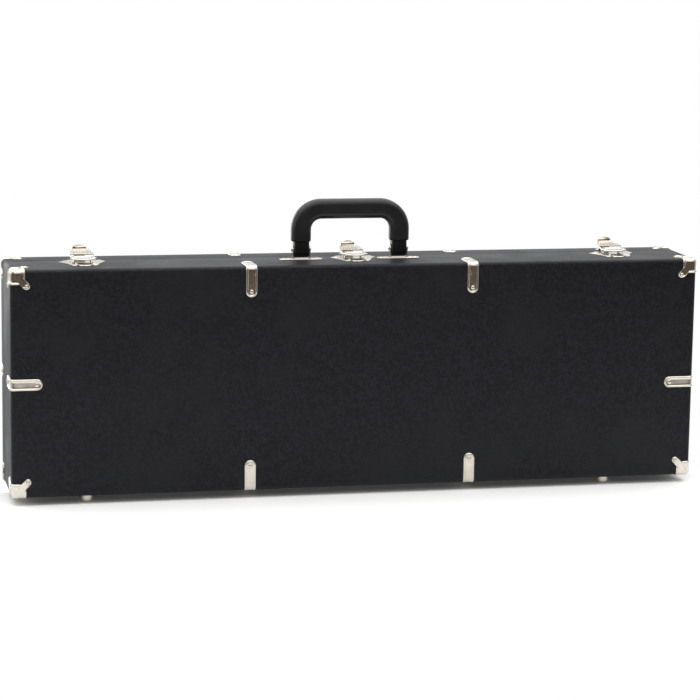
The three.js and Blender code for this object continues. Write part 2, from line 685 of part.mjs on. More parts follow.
// A long plate with round ends and two cheeks that stand beside the handle's neck.
function handleBracket(name, x) {
  const floor = TOP + GAP;
  const cheek = new THREE.Shape();
  cheek.moveTo(-BRACKET_CHEEK_HALF, floor);
  cheek.lineTo(BRACKET_CHEEK_HALF, floor);
  cheek.lineTo(BRACKET_CHEEK_HALF, HANDLE_PIN_Z);
  cheek.absarc(0, HANDLE_PIN_Z, BRACKET_CHEEK_HALF, 0, Math.PI, false);
  const solid = joined(
    prismAlongZ(bracketFloorOutline(), floor, floor + BRACKET_FLOOR, 4),
    prismAlongX(cheek, -CHEEK_OUTSIDE, -CHEEK_INSIDE, 4),
    prismAlongX(cheek, CHEEK_INSIDE, CHEEK_OUTSIDE, 4));
  const bore = rodAlongX(HANDLE_PIN_RADIUS + GAP, -NECK_WIDTH, NECK_WIDTH, 0, HANDLE_PIN_Z);
  return toMesh(name, solid.subtract(bore).translate([x, 0, 0]), nickel());
}

// A pin with a rivet head at each end, outside the cheeks.
function handlePin(name, x) {
  const headStart = CHEEK_OUTSIDE + GAP;
  const headEnd = headStart + PIN_HEAD_THICKNESS;
  const solid = joined(
    rodAlongX(HANDLE_PIN_RADIUS, x - headEnd, x + headEnd, 0, HANDLE_PIN_Z),
    rodAlongX(PIN_HEAD_RADIUS, x - headEnd, x - headStart, 0, HANDLE_PIN_Z),
    rodAlongX(PIN_HEAD_RADIUS, x + headStart, x + headEnd, 0, HANDLE_PIN_Z));
  return toMesh(name, solid, nickel());
}

function handle() {
  const frame = new THREE.Group();
  frame.position.set(HANDLE_CENTRE_X, HANDLE_Y, 0);
  frame.add(
    handleGrip(),
    handleBracket('handle_bracket_left', -HANDLE_X),
    handleBracket('handle_bracket_right', HANDLE_X),
    handlePin('handle_pin_left', -HANDLE_X),
    handlePin('handle_pin_right', HANDLE_X));
  return frame;
}

// ---------------------------------------------------------------- hinges under the case

const HINGE_AXIS_Z = BOTTOM - GAP - HINGE_KNUCKLE_RADIUS;
const HINGE_END = HINGE_LENGTH / 2;
const LEAF_THICKNESS = 1.4;
const LEAF_FROM_SPLIT = 0.8;
const LEAF_REACH = 16;
const KNUCKLE_HALF = HINGE_LENGTH / 6;  // the middle knuckle is a third of the length

function knuckle(radius, x0, x1) {
  return rodAlongX(radius, x0, x1, SPLIT, HINGE_AXIS_Z);
}

// A leaf that lies under one half. It carries knuckles at its own spans along X and is cut
// clear of the other leaf's.
function hingeLeaf(name, x, side, ownSpans, otherSpans) {
  const y0 = SPLIT + side * LEAF_FROM_SPLIT;
  const y1 = SPLIT + side * LEAF_REACH;
  const leaf = block(-HINGE_END, HINGE_END, Math.min(y0, y1), Math.max(y0, y1),
    BOTTOM - GAP - LEAF_THICKNESS, BOTTOM - GAP);
  const own = ownSpans.map(([x0, x1]) => knuckle(HINGE_KNUCKLE_RADIUS, x0, x1));
  const cuts = otherSpans.map(([x0, x1]) => knuckle(HINGE_KNUCKLE_RADIUS + 0.5, x0, x1));
  const bore = knuckle(HINGE_PIN_RADIUS + GAP, -HINGE_LENGTH, HINGE_LENGTH);
  const solid = joined(leaf, ...own).subtract(joined(bore, ...cuts));
  return toMesh(name, solid.translate([x, 0, 0]), nickel());
}

function hinge(name, x) {
  const pin = rodAlongX(HINGE_PIN_RADIUS, x - HINGE_END, x + HINGE_END, SPLIT, HINGE_AXIS_Z);
  const inner = KNUCKLE_HALF - GAP;
  const outer = KNUCKLE_HALF + GAP;
  const middleSpan = [[-inner, inner]];
  const endSpans = [[-HINGE_END, -outer], [outer, HINGE_END]];
  const clearOfMiddle = [[-outer, outer]];
  const clearOfEnds = [[-HINGE_LENGTH, -inner], [inner, HINGE_LENGTH]];
  return [
    hingeLeaf(`${name}_base_leaf`, x, -1, endSpans, clearOfMiddle),
    hingeLeaf(`${name}_lid_leaf`, x, 1, middleSpan, clearOfEnds),
    toMesh(`${name}_pin`, pin, nickel()),
  ];
}

function hinges() {
  return [
    ...hinge('hinge_left', -HINGE_SPACING),
    ...hinge('hinge_middle', 0),
    ...hinge('hinge_right', HINGE_SPACING),
  ];
}

// ---------------------------------------------------------------- feet

// A nickel button with a domed underside and a thin rim against the case.
function footSolid() {
  const top = FOOT_HEIGHT - GAP;
  const rim = 1.2;
  const profile = new THREE.Path();
  profile.moveTo(0, 0);
  profile.lineTo(FOOT_FLAT_RADIUS, 0);
  profile.quadraticCurveTo(0.9 * FOOT_RADIUS, 0, 0.95 * FOOT_RADIUS, top / 2);
  profile.lineTo(FOOT_RADIUS, top - rim);
  profile.lineTo(FOOT_RADIUS, top);
  profile.lineTo(0, top);
  const geometry = new THREE.LatheGeometry(profile.getPoints(3), 18);
  geometry.rotateX(Math.PI / 2);
  return toSolid(geometry);
}

function feet() {
  const set = [];
  const rows = [['base', FRONT + BASE_FOOT_FROM_FRONT], ['lid', BACK - LID_FOOT_FROM_BACK]];
  for (const [half, y] of rows) {
    for (const [side, x] of [['left', FOOT_SHIFT - FOOT_X], ['right', FOOT_SHIFT + FOOT_X]]) {
      set.push(toMesh(`${half}_foot_${side}`, footSolid().translate([x, y, 0]), foot()));
    }
  }
  return set;
}

// ---------------------------------------------------------------- the whole case

const guitarCase = new THREE.Group();
guitarCase.add(baseShell(), lidShell(), ...linings(), neckRest(), storeBox(), storeLid());
guitarCase.add(...cornerCaps(), ...clamps(), ...latches(), handle(), ...hinges(), ...feet());

export default guitarCase;
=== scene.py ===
"""The looks of a hard-shell guitar case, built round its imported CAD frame.

Black grained vinyl over plywood, nickel corner caps, clamps and draw latches, a moulded handle
and a plush lining. Shapes are drawn in millimetres and placed in metres, in the frame's axes.
"""

import json
import math

import bmesh
import bpy
from mathutils import Matrix, Vector


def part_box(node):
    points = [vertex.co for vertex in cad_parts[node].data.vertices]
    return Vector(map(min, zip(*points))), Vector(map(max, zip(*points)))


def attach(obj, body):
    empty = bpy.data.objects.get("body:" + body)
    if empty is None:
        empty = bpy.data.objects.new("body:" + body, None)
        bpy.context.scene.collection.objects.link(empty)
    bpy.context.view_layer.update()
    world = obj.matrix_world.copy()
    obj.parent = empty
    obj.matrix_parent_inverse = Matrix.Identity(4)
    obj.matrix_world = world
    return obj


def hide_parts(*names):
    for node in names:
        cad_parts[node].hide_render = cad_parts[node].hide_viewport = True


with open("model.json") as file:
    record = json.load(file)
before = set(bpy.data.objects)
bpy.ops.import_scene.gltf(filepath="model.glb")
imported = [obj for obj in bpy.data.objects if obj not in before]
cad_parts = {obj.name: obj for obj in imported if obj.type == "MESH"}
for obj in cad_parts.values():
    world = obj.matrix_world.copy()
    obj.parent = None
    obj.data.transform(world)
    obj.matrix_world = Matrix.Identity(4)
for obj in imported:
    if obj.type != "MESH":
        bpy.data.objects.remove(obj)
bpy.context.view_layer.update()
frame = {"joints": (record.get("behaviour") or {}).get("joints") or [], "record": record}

MM = 0.001
RIGHT_ANGLE = math.pi / 2

BODY_OF_NODE = {
    node: body
    for body, nodes in frame["record"]["behaviour"]["bodies"].items()
    for node in nodes
}


# ---------------------------------------------------------------- places taken from the frame


def box_mm(node):
    """Lowest and highest corner of a CAD node, in millimetres."""
    low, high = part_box(node)
    return low / MM, high / MM


def joint_place(name):
    """Where a joint's axis passes, in millimetres."""
    return next(Vector(j["pos_m"]) / MM for j in frame["joints"] if j["name"] == name)


BASE_LOW, BASE_HIGH = box_mm("base_shell")
LID_LOW, LID_HIGH = box_mm("lid_shell")
END = BASE_HIGH.x
FRONT = BASE_LOW.y
BACK = LID_HIGH.y
BOTTOM = BASE_LOW.z
TOP = BASE_HIGH.z
MIDDLE = (BOTTOM + TOP) / 2
HALF_HEIGHT = (TOP - BOTTOM) / 2
SPLIT = (BASE_HIGH.y + LID_LOW.y) / 2
EDGE_RADIUS = 6
FRAME_WALL = 7
PANEL_WALL = 5
GAP = 0.3
LINING = 3
BED_THICKNESS = 8
BED = FRONT + PANEL_WALL + GAP + BED_THICKNESS
ROOF = BACK - PANEL_WALL - GAP - BED_THICKNESS


def middle_of(node):
    """The middle of a CAD node's box, in millimetres."""
    low, high = box_mm(node)
    return (low + high) / 2


# ---------------------------------------------------------------- outlines

SAME_POINT = 1e-3
SHARPEST = 0.5          # limits how far the point of a sharp corner is drawn in


def turns(steps, sweep=RIGHT_ANGLE, start=0.0):
    """Cosine and sine of evenly spaced angles, from the start to the end of the sweep."""
    angles = [start + sweep * i / steps for i in range(steps + 1)]
    return [(math.cos(angle), math.sin(angle)) for angle in angles]


class Outline:
    """A closed flat line drawn with straight runs, curves and arcs."""

    def __init__(self, x, y):
        self.points = [Vector((x, y))]

    def line(self, x, y):
        self.points.append(Vector((x, y)))
        return self

    def curve(self, control_x, control_y, x, y, steps=8):
        start, control, end = self.points[-1], Vector((control_x, control_y)), Vector((x, y))
        for i in range(1, steps + 1):
            t = i / steps
            self.points.append((1 - t) ** 2 * start + 2 * t * (1 - t) * control + t * t * end)
        return self

    def arc(self, centre_x, centre_y, radius, start, end, steps=10):
        for cos, sin in turns(steps, end - start, start):
            self.line(centre_x + radius * cos, centre_y + radius * sin)
        return self

    def mirrored(self):
        """Adds the other half, mirrored about the outline's own Y axis."""
        self.points += [Vector((-p.x, p.y)) for p in reversed(self.points)]
        return self

    def done(self):
        """The points, anticlockwise and without repeats."""
        kept = []
        for point in self.points:
            if not kept or (point - kept[-1]).length > SAME_POINT:
                kept.append(point)
        if (kept[0] - kept[-1]).length < SAME_POINT:
            kept.pop()
        doubled_area = sum(
            a.x * b.y - b.x * a.y for a, b in zip(kept, kept[1:] + kept[:1])
        )
        return kept if doubled_area > 0 else kept[::-1]


def inset(outline, distance):
    """The outline drawn in by a distance, each point along the bisector of its corner."""
    moved = []
    for i, here in enumerate(outline):
        before = (here - outline[i - 1]).normalized()
        after = (outline[(i + 1) % len(outline)] - here).normalized()
        along = (before + after).normalized()
        inward = Vector((-along.y, along.x))
        moved.append(here + inward * distance / max(SHARPEST, along.dot(before)))
    return moved


def shrunk(outline, share, centre_y=0.0):
    """The outline made smaller about a point on its middle line."""
    centre = Vector((0, centre_y))
    return [centre + (point - centre) * share for point in outline]


def stadium(half_length, radius, steps=8):
    """A long outline with round ends."""
    straight = half_length - radius
    line = Outline(-straight, -radius)
    line.arc(straight, 0, radius, -RIGHT_ANGLE, RIGHT_ANGLE, steps)
    line.arc(-straight, 0, radius, RIGHT_ANGLE, 3 * RIGHT_ANGLE, steps)
    return line.done()


def rounded_rectangle(half_x, half_z, radius, steps=6):
    """Points of a rectangle with round corners, anticlockwise from the low right corner."""
    corners = ((1, -1, -RIGHT_ANGLE), (1, 1, 0), (-1, 1, RIGHT_ANGLE), (-1, -1, 2 * RIGHT_ANGLE))
    points = []
    for side_x, side_z, start in corners:
        points += [(side_x * (half_x - radius) + radius * cos,
                    side_z * (half_z - radius) + radius * sin)
                   for cos, sin in turns(steps, RIGHT_ANGLE, start)]
    return points


# How an outline's two axes and its height lie in a piece's own frame.
def lying(a, b, height):
    return (a, b, height)


def sideways(a, b, height):
    return (height, a, b)


def upright(a, b, height):
    return (a, height, b)


# ---------------------------------------------------------------- moulding pieces


def placed(name, data):
    """A new object in the scene."""
    thing = bpy.data.objects.new(name, data)
    bpy.context.scene.collection.objects.link(thing)
    return thing


MERGED = 1e-6           # vertices this close, in metres, become one
HALFWAY = 0.3           # share of a rounding at which its middle point lies
NAIL_SUNK = 0.4
NAIL_EDGE = 0.1
NAIL_STEPS = 7


class Mould:
    """Collects the faces of one piece. Its own frame is in millimetres."""

    def __init__(self, origin=(0, 0, 0), tilt=0.0):
        move = Matrix.Translation(Vector(origin) * MM)
        self.rest = move @ Matrix.Rotation(tilt, 4, "X") @ Matrix.Scale(MM, 4)
        self.place = self.rest
        self.bm = bmesh.new()

    def turn(self, tilt, about=(0, 0, 0)):
        """Faces made from now on are turned about X, through a place in the piece's own frame."""
        centre = Matrix.Translation(Vector(about))
        self.place = self.rest @ centre @ Matrix.Rotation(tilt, 4, "X") @ centre.inverted()

    def rings(self, rings, cap_first=False, cap_last=False, around=True, joined=False):
        """Faces between rings with equally many points."""
        rows = [[self.bm.verts.new(self.place @ Vector(p)) for p in ring] for ring in rings]
        if joined:
            rows.append(rows[0])
        count = len(rows[0])
        for near, far in zip(rows, rows[1:]):
            for i in range(count if around else count - 1):
                j = (i + 1) % count
                self.bm.faces.new((near[i], near[j], far[j], far[i]))
        if cap_first:
            self.bm.faces.new(rows[0][::-1])
        if cap_last:
            self.bm.faces.new(rows[-1])
        return rows

    def plate(self, outline, levels, lie=lying):
        """A flat piece. A level is how far the outline is drawn in and how high it lies."""
        rings = [[lie(p.x, p.y, height) for p in inset(outline, draw)] for draw, height in levels]
        self.rings(rings, cap_first=True, cap_last=True)

    def slab(self, outline, low, high, rounding, lie=lying):
        """A flat piece between two heights, with rounded edges."""
        self.plate(outline, (
            (rounding, low), (HALFWAY * rounding, low + HALFWAY * rounding), (0, low + rounding),
            (0, high - rounding), (HALFWAY * rounding, high - HALFWAY * rounding),
            (rounding, high)), lie)

    def turned(self, centre, normal, profile, steps=24):
        """A turned piece: its profile is pairs of radius and height along the normal."""
        across = Vector(normal).normalized()
        first = across.orthogonal().normalized()
        second = across.cross(first)
        outward = [first * cos + second * sin for cos, sin in turns(steps, 2 * math.pi)[:-1]]
        rings = [[Vector(centre) + way * radius + across * height for way in outward]
                 for radius, height in profile]
        self.rings(rings, cap_first=True, cap_last=True)

    def nail(self, centre, normal, radius=2.7, height=1.5):
        """A domed nail head whose edge is sunk a little into what it holds."""
        profile = [(radius, -NAIL_SUNK), (radius, NAIL_EDGE)]
        profile += [(radius * cos, NAIL_EDGE + height * sin) for cos, sin in turns(NAIL_STEPS)[1:-1]]
        self.turned(centre, normal, profile, 20)

    def rod(self, start, end, radius, rounding=0.4, steps=20):
        """A rod with rounded ends."""
        length = (Vector(end) - Vector(start)).length
        part = HALFWAY * rounding
        profile = (
            (radius - rounding, 0), (radius - part, part), (radius, rounding),
            (radius, length - rounding), (radius - part, length - part),
            (radius - rounding, length))
        self.turned(start, Vector(end) - Vector(start), profile, steps)

    def finish(self, name, material, sharp=38):
        """The piece as an object, smooth but for edges sharper than the given degrees."""
        bmesh.ops.remove_doubles(self.bm, verts=self.bm.verts, dist=MERGED)
        bmesh.ops.dissolve_degenerate(self.bm, edges=self.bm.edges, dist=MERGED / 10)
        bmesh.ops.recalc_face_normals(self.bm, faces=self.bm.faces)
        mesh = bpy.data.meshes.new(name)
        self.bm.to_mesh(mesh)
        self.bm.free()
        mesh.materials.append(material)
        for polygon in mesh.polygons:
            polygon.use_smooth = True
        mesh.set_sharp_from_angle(angle=math.radians(sharp))
        return placed(name, mesh)


def stand_for(piece, node):
    """Puts a finished piece in the place of a CAD node, moving with the node's body."""
    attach(piece, BODY_OF_NODE[node])
    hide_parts(node)
    return piece


# ---------------------------------------------------------------- materials


class Looks:
    """A material with short ways to add the nodes that these looks share."""

    def __init__(self, name):
        self.material = bpy.data.materials.new(name)
        self.material.use_nodes = True
        self.nodes = self.material.node_tree.nodes
        self.links = self.material.node_tree.links
        self.shader = self.nodes["Principled BSDF"]
        coordinates = self.nodes.new("ShaderNodeTexCoord")
        self.place = coordinates.outputs["Object"]

    def join(self, value, socket):
        """Sets a socket to a value, or links it when the value is another node's output."""
        if isinstance(value, bpy.types.NodeSocket):
            self.links.new(value, socket)
        else:
            socket.default_value = value

    def add(self, kind, output, **values):
        """The output of a new node with these values at its inputs."""
        node = self.nodes.new(f"ShaderNode{kind}")
        for name, value in values.items():
            self.join(value, node.inputs[name.replace("_", " ")])
        return node.outputs[output]

    def stretched(self, x, y, z):
        """The place with its axes stretched, for grain that runs one way."""
        return self.add("Mapping", "Vector", Vector=self.place, Scale=(x, y, z))

    def noise(self, scale, detail=3.0, roughness=0.5, place=None):
        return self.add("TexNoise", "Fac", Vector=place or self.place, Scale=scale, Detail=detail,
                        Roughness=roughness)

    def cells(self, scale):
        """Small round cells that run softly into each other."""
        distance = self.add("TexVoronoi", "Distance", Vector=self.place, Scale=scale)
        distance.node.feature = "SMOOTH_F1"
        return distance

    def ranged(self, value, low, high, new_low=0.0, new_high=1.0):
        return self.add("MapRange", "Result", Value=value, From_Min=low, From_Max=high,
                        To_Min=new_low, To_Max=new_high)

    def combined(self, operation, first, second):
        """Two values, or a value and a number, put together by a sum."""
        node = self.nodes.new("ShaderNodeMath")
        node.operation = operation
        for socket, value in zip(node.inputs, (first, second)):
            self.join(value, socket)
        return node.outputs["Value"]

    def between(self, share, first, second):
        """A colour between two, each a colour or another node's output."""
        node = self.nodes.new("ShaderNodeMix")
        node.data_type = "RGBA"
        self.join(share, node.inputs["Factor"])
        for socket, value in ((node.inputs[6], first), (node.inputs[7], second)):
            self.join((*value, 1) if isinstance(value, tuple) else value, socket)
        return node.outputs[2]

    def bump(self, height, distance, strength=1.0, under=None):
        below = {} if under is None else {"Normal": under}
        return self.add("Bump", "Normal", Height=height, Distance=distance, Strength=strength, **below)

    def shade(self, colour=None, roughness=None, normal=None):
        for socket, value in (("Base Color", colour), ("Roughness", roughness), ("Normal", normal)):
            if value is not None:
                self.links.new(value, self.shader.inputs[socket])
        return self.material

    def steady(self, **values):
        """Values that are the same all over, set straight on the shader."""
        for name, value in values.items():
            self.shader.inputs[name.replace("_", " ")].default_value = value


def grained_vinyl():
    """Black vinyl with a fine pebbled grain, duller in the valleys and rubbed in places."""
    looks = Looks("grained_vinyl")
    pebbles = looks.cells(380)
    creases = looks.noise(620, 4, 0.6, looks.stretched(1, 1, 1.7))
    grain = looks.combined("ADD", looks.combined("MULTIPLY", pebbles, 1.1), creases)
    rubbed = looks.ranged(looks.noise(7, 3, 0.55), 0.5, 0.72)
    mottle = looks.ranged(looks.noise(210, 3, 0.6), 0.42, 0.62)
    dark = looks.between(mottle, (0.0010, 0.0014, 0.0034), (0.0080, 0.0092, 0.014))
    colour = looks.between(rubbed, dark, (0.0075, 0.0085, 0.011))
    roughness = looks.combined("ADD", looks.ranged(grain, 0.4, 1.3, 0.4, 0.52),
                               looks.ranged(looks.noise(16, 2), 0.35, 0.65, -0.04, 0.04))
    swell = looks.bump(looks.noise(9, 2, 0.4), 0.0012, 0.35)
    normal = looks.bump(grain, 0.0006, 0.9, swell)
    looks.steady(Specular_IOR_Level=0.25, IOR=1.48)
    return looks.shade(colour, roughness, normal)


def nickel_plate(name="nickel_plate", wear=0.5):
    """Bright warm nickel with fine scratches, faint clouding and dull worn spots."""
    looks = Looks(name)
    scratches = looks.noise(420, 5, 0.7, looks.stretched(1, 0.12, 0.3))
    clouds = looks.noise(55, 3, 0.5)
    spots = looks.ranged(looks.noise(260, 4, 0.6), 0.6, 0.75)
    bright = looks.between(clouds, (0.70, 0.665, 0.60), (0.56, 0.52, 0.45))
    colour = looks.between(looks.combined("MULTIPLY", spots, wear), bright, (0.34, 0.29, 0.22))
    roughness = looks.combined("ADD", looks.ranged(clouds, 0.3, 0.7, 0.12, 0.22),
                               looks.ranged(scratches, 0.5, 0.75, 0.0, 0.16 * wear + 0.04))
    dents = looks.bump(looks.noise(90, 2, 0.5), 0.0004, 0.25)
    normal = looks.bump(scratches, 0.00003, 0.5, dents)
    looks.steady(Metallic=1.0)
    return looks.shade(colour, roughness, normal)


def moulded_plastic():
    """Black moulded plastic with a fine leather-like skin, a little shinier in soft patches."""
    looks = Looks("moulded_plastic")
    skin = looks.cells(1500)
    haze = looks.noise(40, 3, 0.5)
    colour = looks.between(haze, (0.004, 0.004, 0.006), (0.009, 0.009, 0.012))
    roughness = looks.combined("ADD", looks.ranged(haze, 0.3, 0.7, 0.34, 0.42),
                               looks.ranged(skin, 0.1, 0.7, -0.03, 0.05))
    normal = looks.bump(skin, 0.00008, 0.5)
    looks.steady(Specular_IOR_Level=0.42)
    return looks.shade(colour, roughness, normal)


def plush():
    """Short charcoal pile: it lies in soft patches and shows a sheen at a low angle."""
    looks = Looks("plush")
    pile = looks.noise(1400, 4, 0.65)
    patches = looks.noise(22, 3, 0.6)
    dark = looks.between(patches, (0.020, 0.020, 0.023), (0.045, 0.045, 0.050))
    colour = looks.between(looks.ranged(pile, 0.35, 0.7), dark, (0.060, 0.060, 0.066))
    roughness = looks.ranged(pile, 0.3, 0.7, 0.85, 1.0)
    lie = looks.bump(patches, 0.0015, 0.4)
    normal = looks.bump(pile, 0.0006, 0.9, lie)
    looks.steady(Sheen_Weight=0.6, Sheen_Roughness=0.4, Specular_IOR_Level=0.15)
    return looks.shade(colour, roughness, normal)


VINYL = grained_vinyl()
NICKEL = nickel_plate()
FOOT_NICKEL = nickel_plate("scuffed_nickel", 1.0)
PLASTIC = moulded_plastic()
PLUSH = plush()


def nickel_piece(mould, node, ending, sharp=50):
    """Finishes a piece of the nickel hardware and puts it in the place of its node."""
    return stand_for(mould.finish(f"{node}_{ending}", NICKEL, sharp), node)


# ---------------------------------------------------------------- shells

SMALLEST_CORNER = 0.6   # radius that a ring drawn far in still has at its corners
EDGE_STEPS = 8
RIM_ROUNDING = 0.7
RIM_STEPS = 4
INNER_BEVEL = 0.8


def frame_ring(draw, y, steps=6):
    """A ring round the case at one depth, drawn in from the case's outside."""
    radius = max(EDGE_RADIUS - draw, SMALLEST_CORNER)
    flat = rounded_rectangle(END - draw, HALF_HEIGHT - draw, radius, steps)
    return [(x, y, MIDDLE + z) for x, z in flat]


def shell(name, node, panel_y, rim_y):
    """Half of the case: a panel with a rounded edge, walls and a rim covered in vinyl."""
    inward = 1 if rim_y > panel_y else -1
    profile = [(EDGE_RADIUS * (1 - sin), panel_y + inward * EDGE_RADIUS * (1 - cos))
               for cos, sin in turns(EDGE_STEPS)]
    profile += [(RIM_ROUNDING * (1 - cos), rim_y - inward * RIM_ROUNDING * (1 - sin))
                for cos, sin in turns(RIM_STEPS)]
    profile += [(FRAME_WALL - INNER_BEVEL, rim_y), (FRAME_WALL, rim_y - inward * INNER_BEVEL),
                (FRAME_WALL, panel_y + inward * PANEL_WALL)]
    mould = Mould()
    mould.rings([frame_ring(draw, y) for draw, y in profile], cap_first=True, cap_last=True)
    return stand_for(mould.finish(name, VINYL, 50), node)


shell("vinyl_base", "base_shell", FRONT, BASE_HIGH.y)
shell("vinyl_lid", "lid_shell", BACK, LID_LOW.y)


# ---------------------------------------------------------------- nickel on the case's edges

# How far in from a strip's outline, and how high over the case, its pressed rim runs.
RIM_PRESSING = (
    (0, -0.2), (0, 0.5), (0.5, 1.0), (1.2, 1.55), (1.9, 1.85), (2.5, 1.7), (3.2, 1.0), (3.8, 0.6))


def on_case(point, height):
    """The place at a height over the rounded case, for a point on its square outside."""
    low, high = (-END, FRONT, BOTTOM), (END, BACK, TOP)
    core = Vector([
        min(max(point[i], low[i] + EDGE_RADIUS), high[i] - EDGE_RADIUS) for i in range(3)
    ])
    outward = (point - core).normalized()
    return core + outward * (EDGE_RADIUS + height)


RECESS = 0.55           # how high the pressed middle of a strip or cap lies over the case
CAP_CROWN = 0.6         # how much more a cap's middle rises towards the case's corner
CAP_SHARES = (0.85, 0.7, 0.55, 0.42, 0.3, 0.2, 0.1, 0.0)
CORNER_SIZE = 22
TAB_RADIUS = 5.6
TAB_CENTRE = 24
TAB_SIDE = TAB_RADIUS * math.sqrt(2)
SHOULDER_ANGLE = math.atan2(CORNER_SIZE - TAB_SIDE, CORNER_SIZE)
TAB_REACH = TAB_RADIUS / math.sqrt(2)
NECK_ANGLE = math.atan2(TAB_CENTRE - TAB_REACH, TAB_CENTRE + TAB_REACH)


def corner_reach(angle):
    """How far a cap reaches over one face, along a ray from the case's corner."""
    angle = min(angle, RIGHT_ANGLE - angle)
    if angle <= SHOULDER_ANGLE:
        return CORNER_SIZE / math.cos(angle)
    if angle <= NECK_ANGLE:
        return TAB_SIDE / (math.cos(angle) - math.sin(angle))
    away = TAB_CENTRE * math.sqrt(2)
    off = math.pi / 4 - angle
    return away * math.cos(off) + math.sqrt(max(TAB_RADIUS ** 2 - (away * math.sin(off)) ** 2, 0))


def corner_angles():
    """Rays over one face, closer together at its edges and round the tab."""
    half = [SHOULDER_ANGLE * (i / 9) ** 1.3 for i in range(9)]
    half += [SHOULDER_ANGLE + (NECK_ANGLE - SHOULDER_ANGLE) * i / 2 for i in range(2)]
    half += [NECK_ANGLE + (math.pi / 4 - NECK_ANGLE) * i / 5 for i in range(5)]
    return half + [math.pi / 4] + [RIGHT_ANGLE - angle for angle in reversed(half)]


def corner_cap(node, signs):
    """A pressed cap over three faces, with a nail in the tab on each."""
    corner = Vector((signs[0] * END, FRONT if signs[1] < 0 else BACK, MIDDLE + signs[2] * HALF_HEIGHT))
    mould = Mould()
    inner = [(share, RECESS + CAP_CROWN * (1 - share)) for share in CAP_SHARES]
    for first, second in ((0, 1), (1, 2), (2, 0)):
        def place(reach, angle, height):
            point = corner.copy()
            point[first] -= signs[first] * reach * math.cos(angle)
            point[second] -= signs[second] * reach * math.sin(angle)
            return on_case(point, height)
        rays = corner_angles()
        rings = [[place(corner_reach(a) - draw, a, height) for a in rays]
                 for draw, height in RIM_PRESSING]
        last = RIM_PRESSING[-1][0]
        rings += [[place((corner_reach(a) - last) * share, a, height) for a in rays]
                  for share, height in inner]
        mould.rings(rings, around=False)
        normal = Vector((0, 0, 0))
        normal[3 - first - second] = signs[3 - first - second]
        mould.nail(place(TAB_CENTRE * math.sqrt(2), math.pi / 4, 0.7), normal, 2.8, 1.8)
    return nickel_piece(mould, node, "cap", 60)


def corner_caps():
    for half, y in (("base", -1), ("lid", 1)):
        for level, z in (("bottom", -1), ("top", 1)):
            for side, x in (("left", -1), ("right", 1)):
                corner_cap(f"{half}_corner_{level}_{side}", (x, y, z))


CLAMP_WIDTH = 17.5
CLAMP_STANDS_OFF = 1.3  # the outside of its sheet from the case
CLAMP_SPACING = 1.6     # of its sections
CLAMP_DRAWS = (5.0, 6.5, 8.0, CLAMP_WIDTH / 2)
ROUND_END_STEPS = 12
CLAMP_NAIL = (3.3, 2.0)


def clamp(node, edge, on_face, on_side, across, face_leg, side_leg):
    """A pressed strip with round ends, bent over an edge of the case.

    It runs from the edge along on_face and, the other way, along on_side.
    """
    half = CLAMP_WIDTH / 2
    mould = Mould()

    def place(along, off, height):
        way = on_face * along if along > 0 else on_side * -along
        return on_case(edge + way + across * off, height)

    run = face_leg + side_leg - 2 * half
    count = int(run / CLAMP_SPACING)
    stations = [-side_leg + half + run * i / count for i in range(count + 1)]

    def ring(draw, height):
        radius = half - draw

        def round_end(station, start):
            return [place(station + radius * cos, radius * sin, height)
                    for cos, sin in turns(ROUND_END_STEPS, math.pi, start)[1:-1]]

        points = [place(s, -radius, height) for s in stations]
        points += round_end(stations[-1], -RIGHT_ANGLE)
        points += [place(s, radius, height) for s in reversed(stations)]
        return points + round_end(stations[0], RIGHT_ANGLE)

    rings = [ring(draw, height) for draw, height in RIM_PRESSING]
    rings += [ring(draw, RECESS) for draw in CLAMP_DRAWS]
    mould.rings(rings)
    nail_seat = 0.6
    mould.nail(place(stations[-1], 0, nail_seat), on_side * -1, *CLAMP_NAIL)
    mould.nail(place(stations[0], 0, nail_seat), on_face * -1, *CLAMP_NAIL)
    return nickel_piece(mould, node, "strip", 60)


def clamps():
    """Four clamps over the long edges and one over each end, for either half."""
    for half, y, back in (("base", FRONT, 1), ("lid", BACK, -1)):
        inward = Vector((0, back, 0))
        for side, sign in (("left", -1), ("right", 1)):
            for level, z, up in (("bottom", BOTTOM, 1), ("top", TOP, -1)):
                node = f"{half}_clamp_{level}_{side}"
                low, high = box_mm(node)
                edge = Vector((middle_of(node).x, y, z))
                clamp(node, edge, Vector((0, 0, up)), inward, Vector((1, 0, 0)),
                      high.z - low.z - CLAMP_STANDS_OFF, high.y - low.y - CLAMP_STANDS_OFF)
            node = f"{half}_clamp_end_{side}"
            low, high = box_mm(node)
            edge = Vector((sign * END, y, middle_of(node).z))
            clamp(node, edge, Vector((-sign, 0, 0)), inward, Vector((0, 0, 1)),
                  high.x - low.x - CLAMP_STANDS_OFF, high.y - low.y - CLAMP_STANDS_OFF)


corner_caps()
clamps()


# ---------------------------------------------------------------- latches

LATCH_SHEET = 1.2
PIN_RADIUS = 1.2
THIN_ROUNDING = 0.25    # of the edges of upright sheet

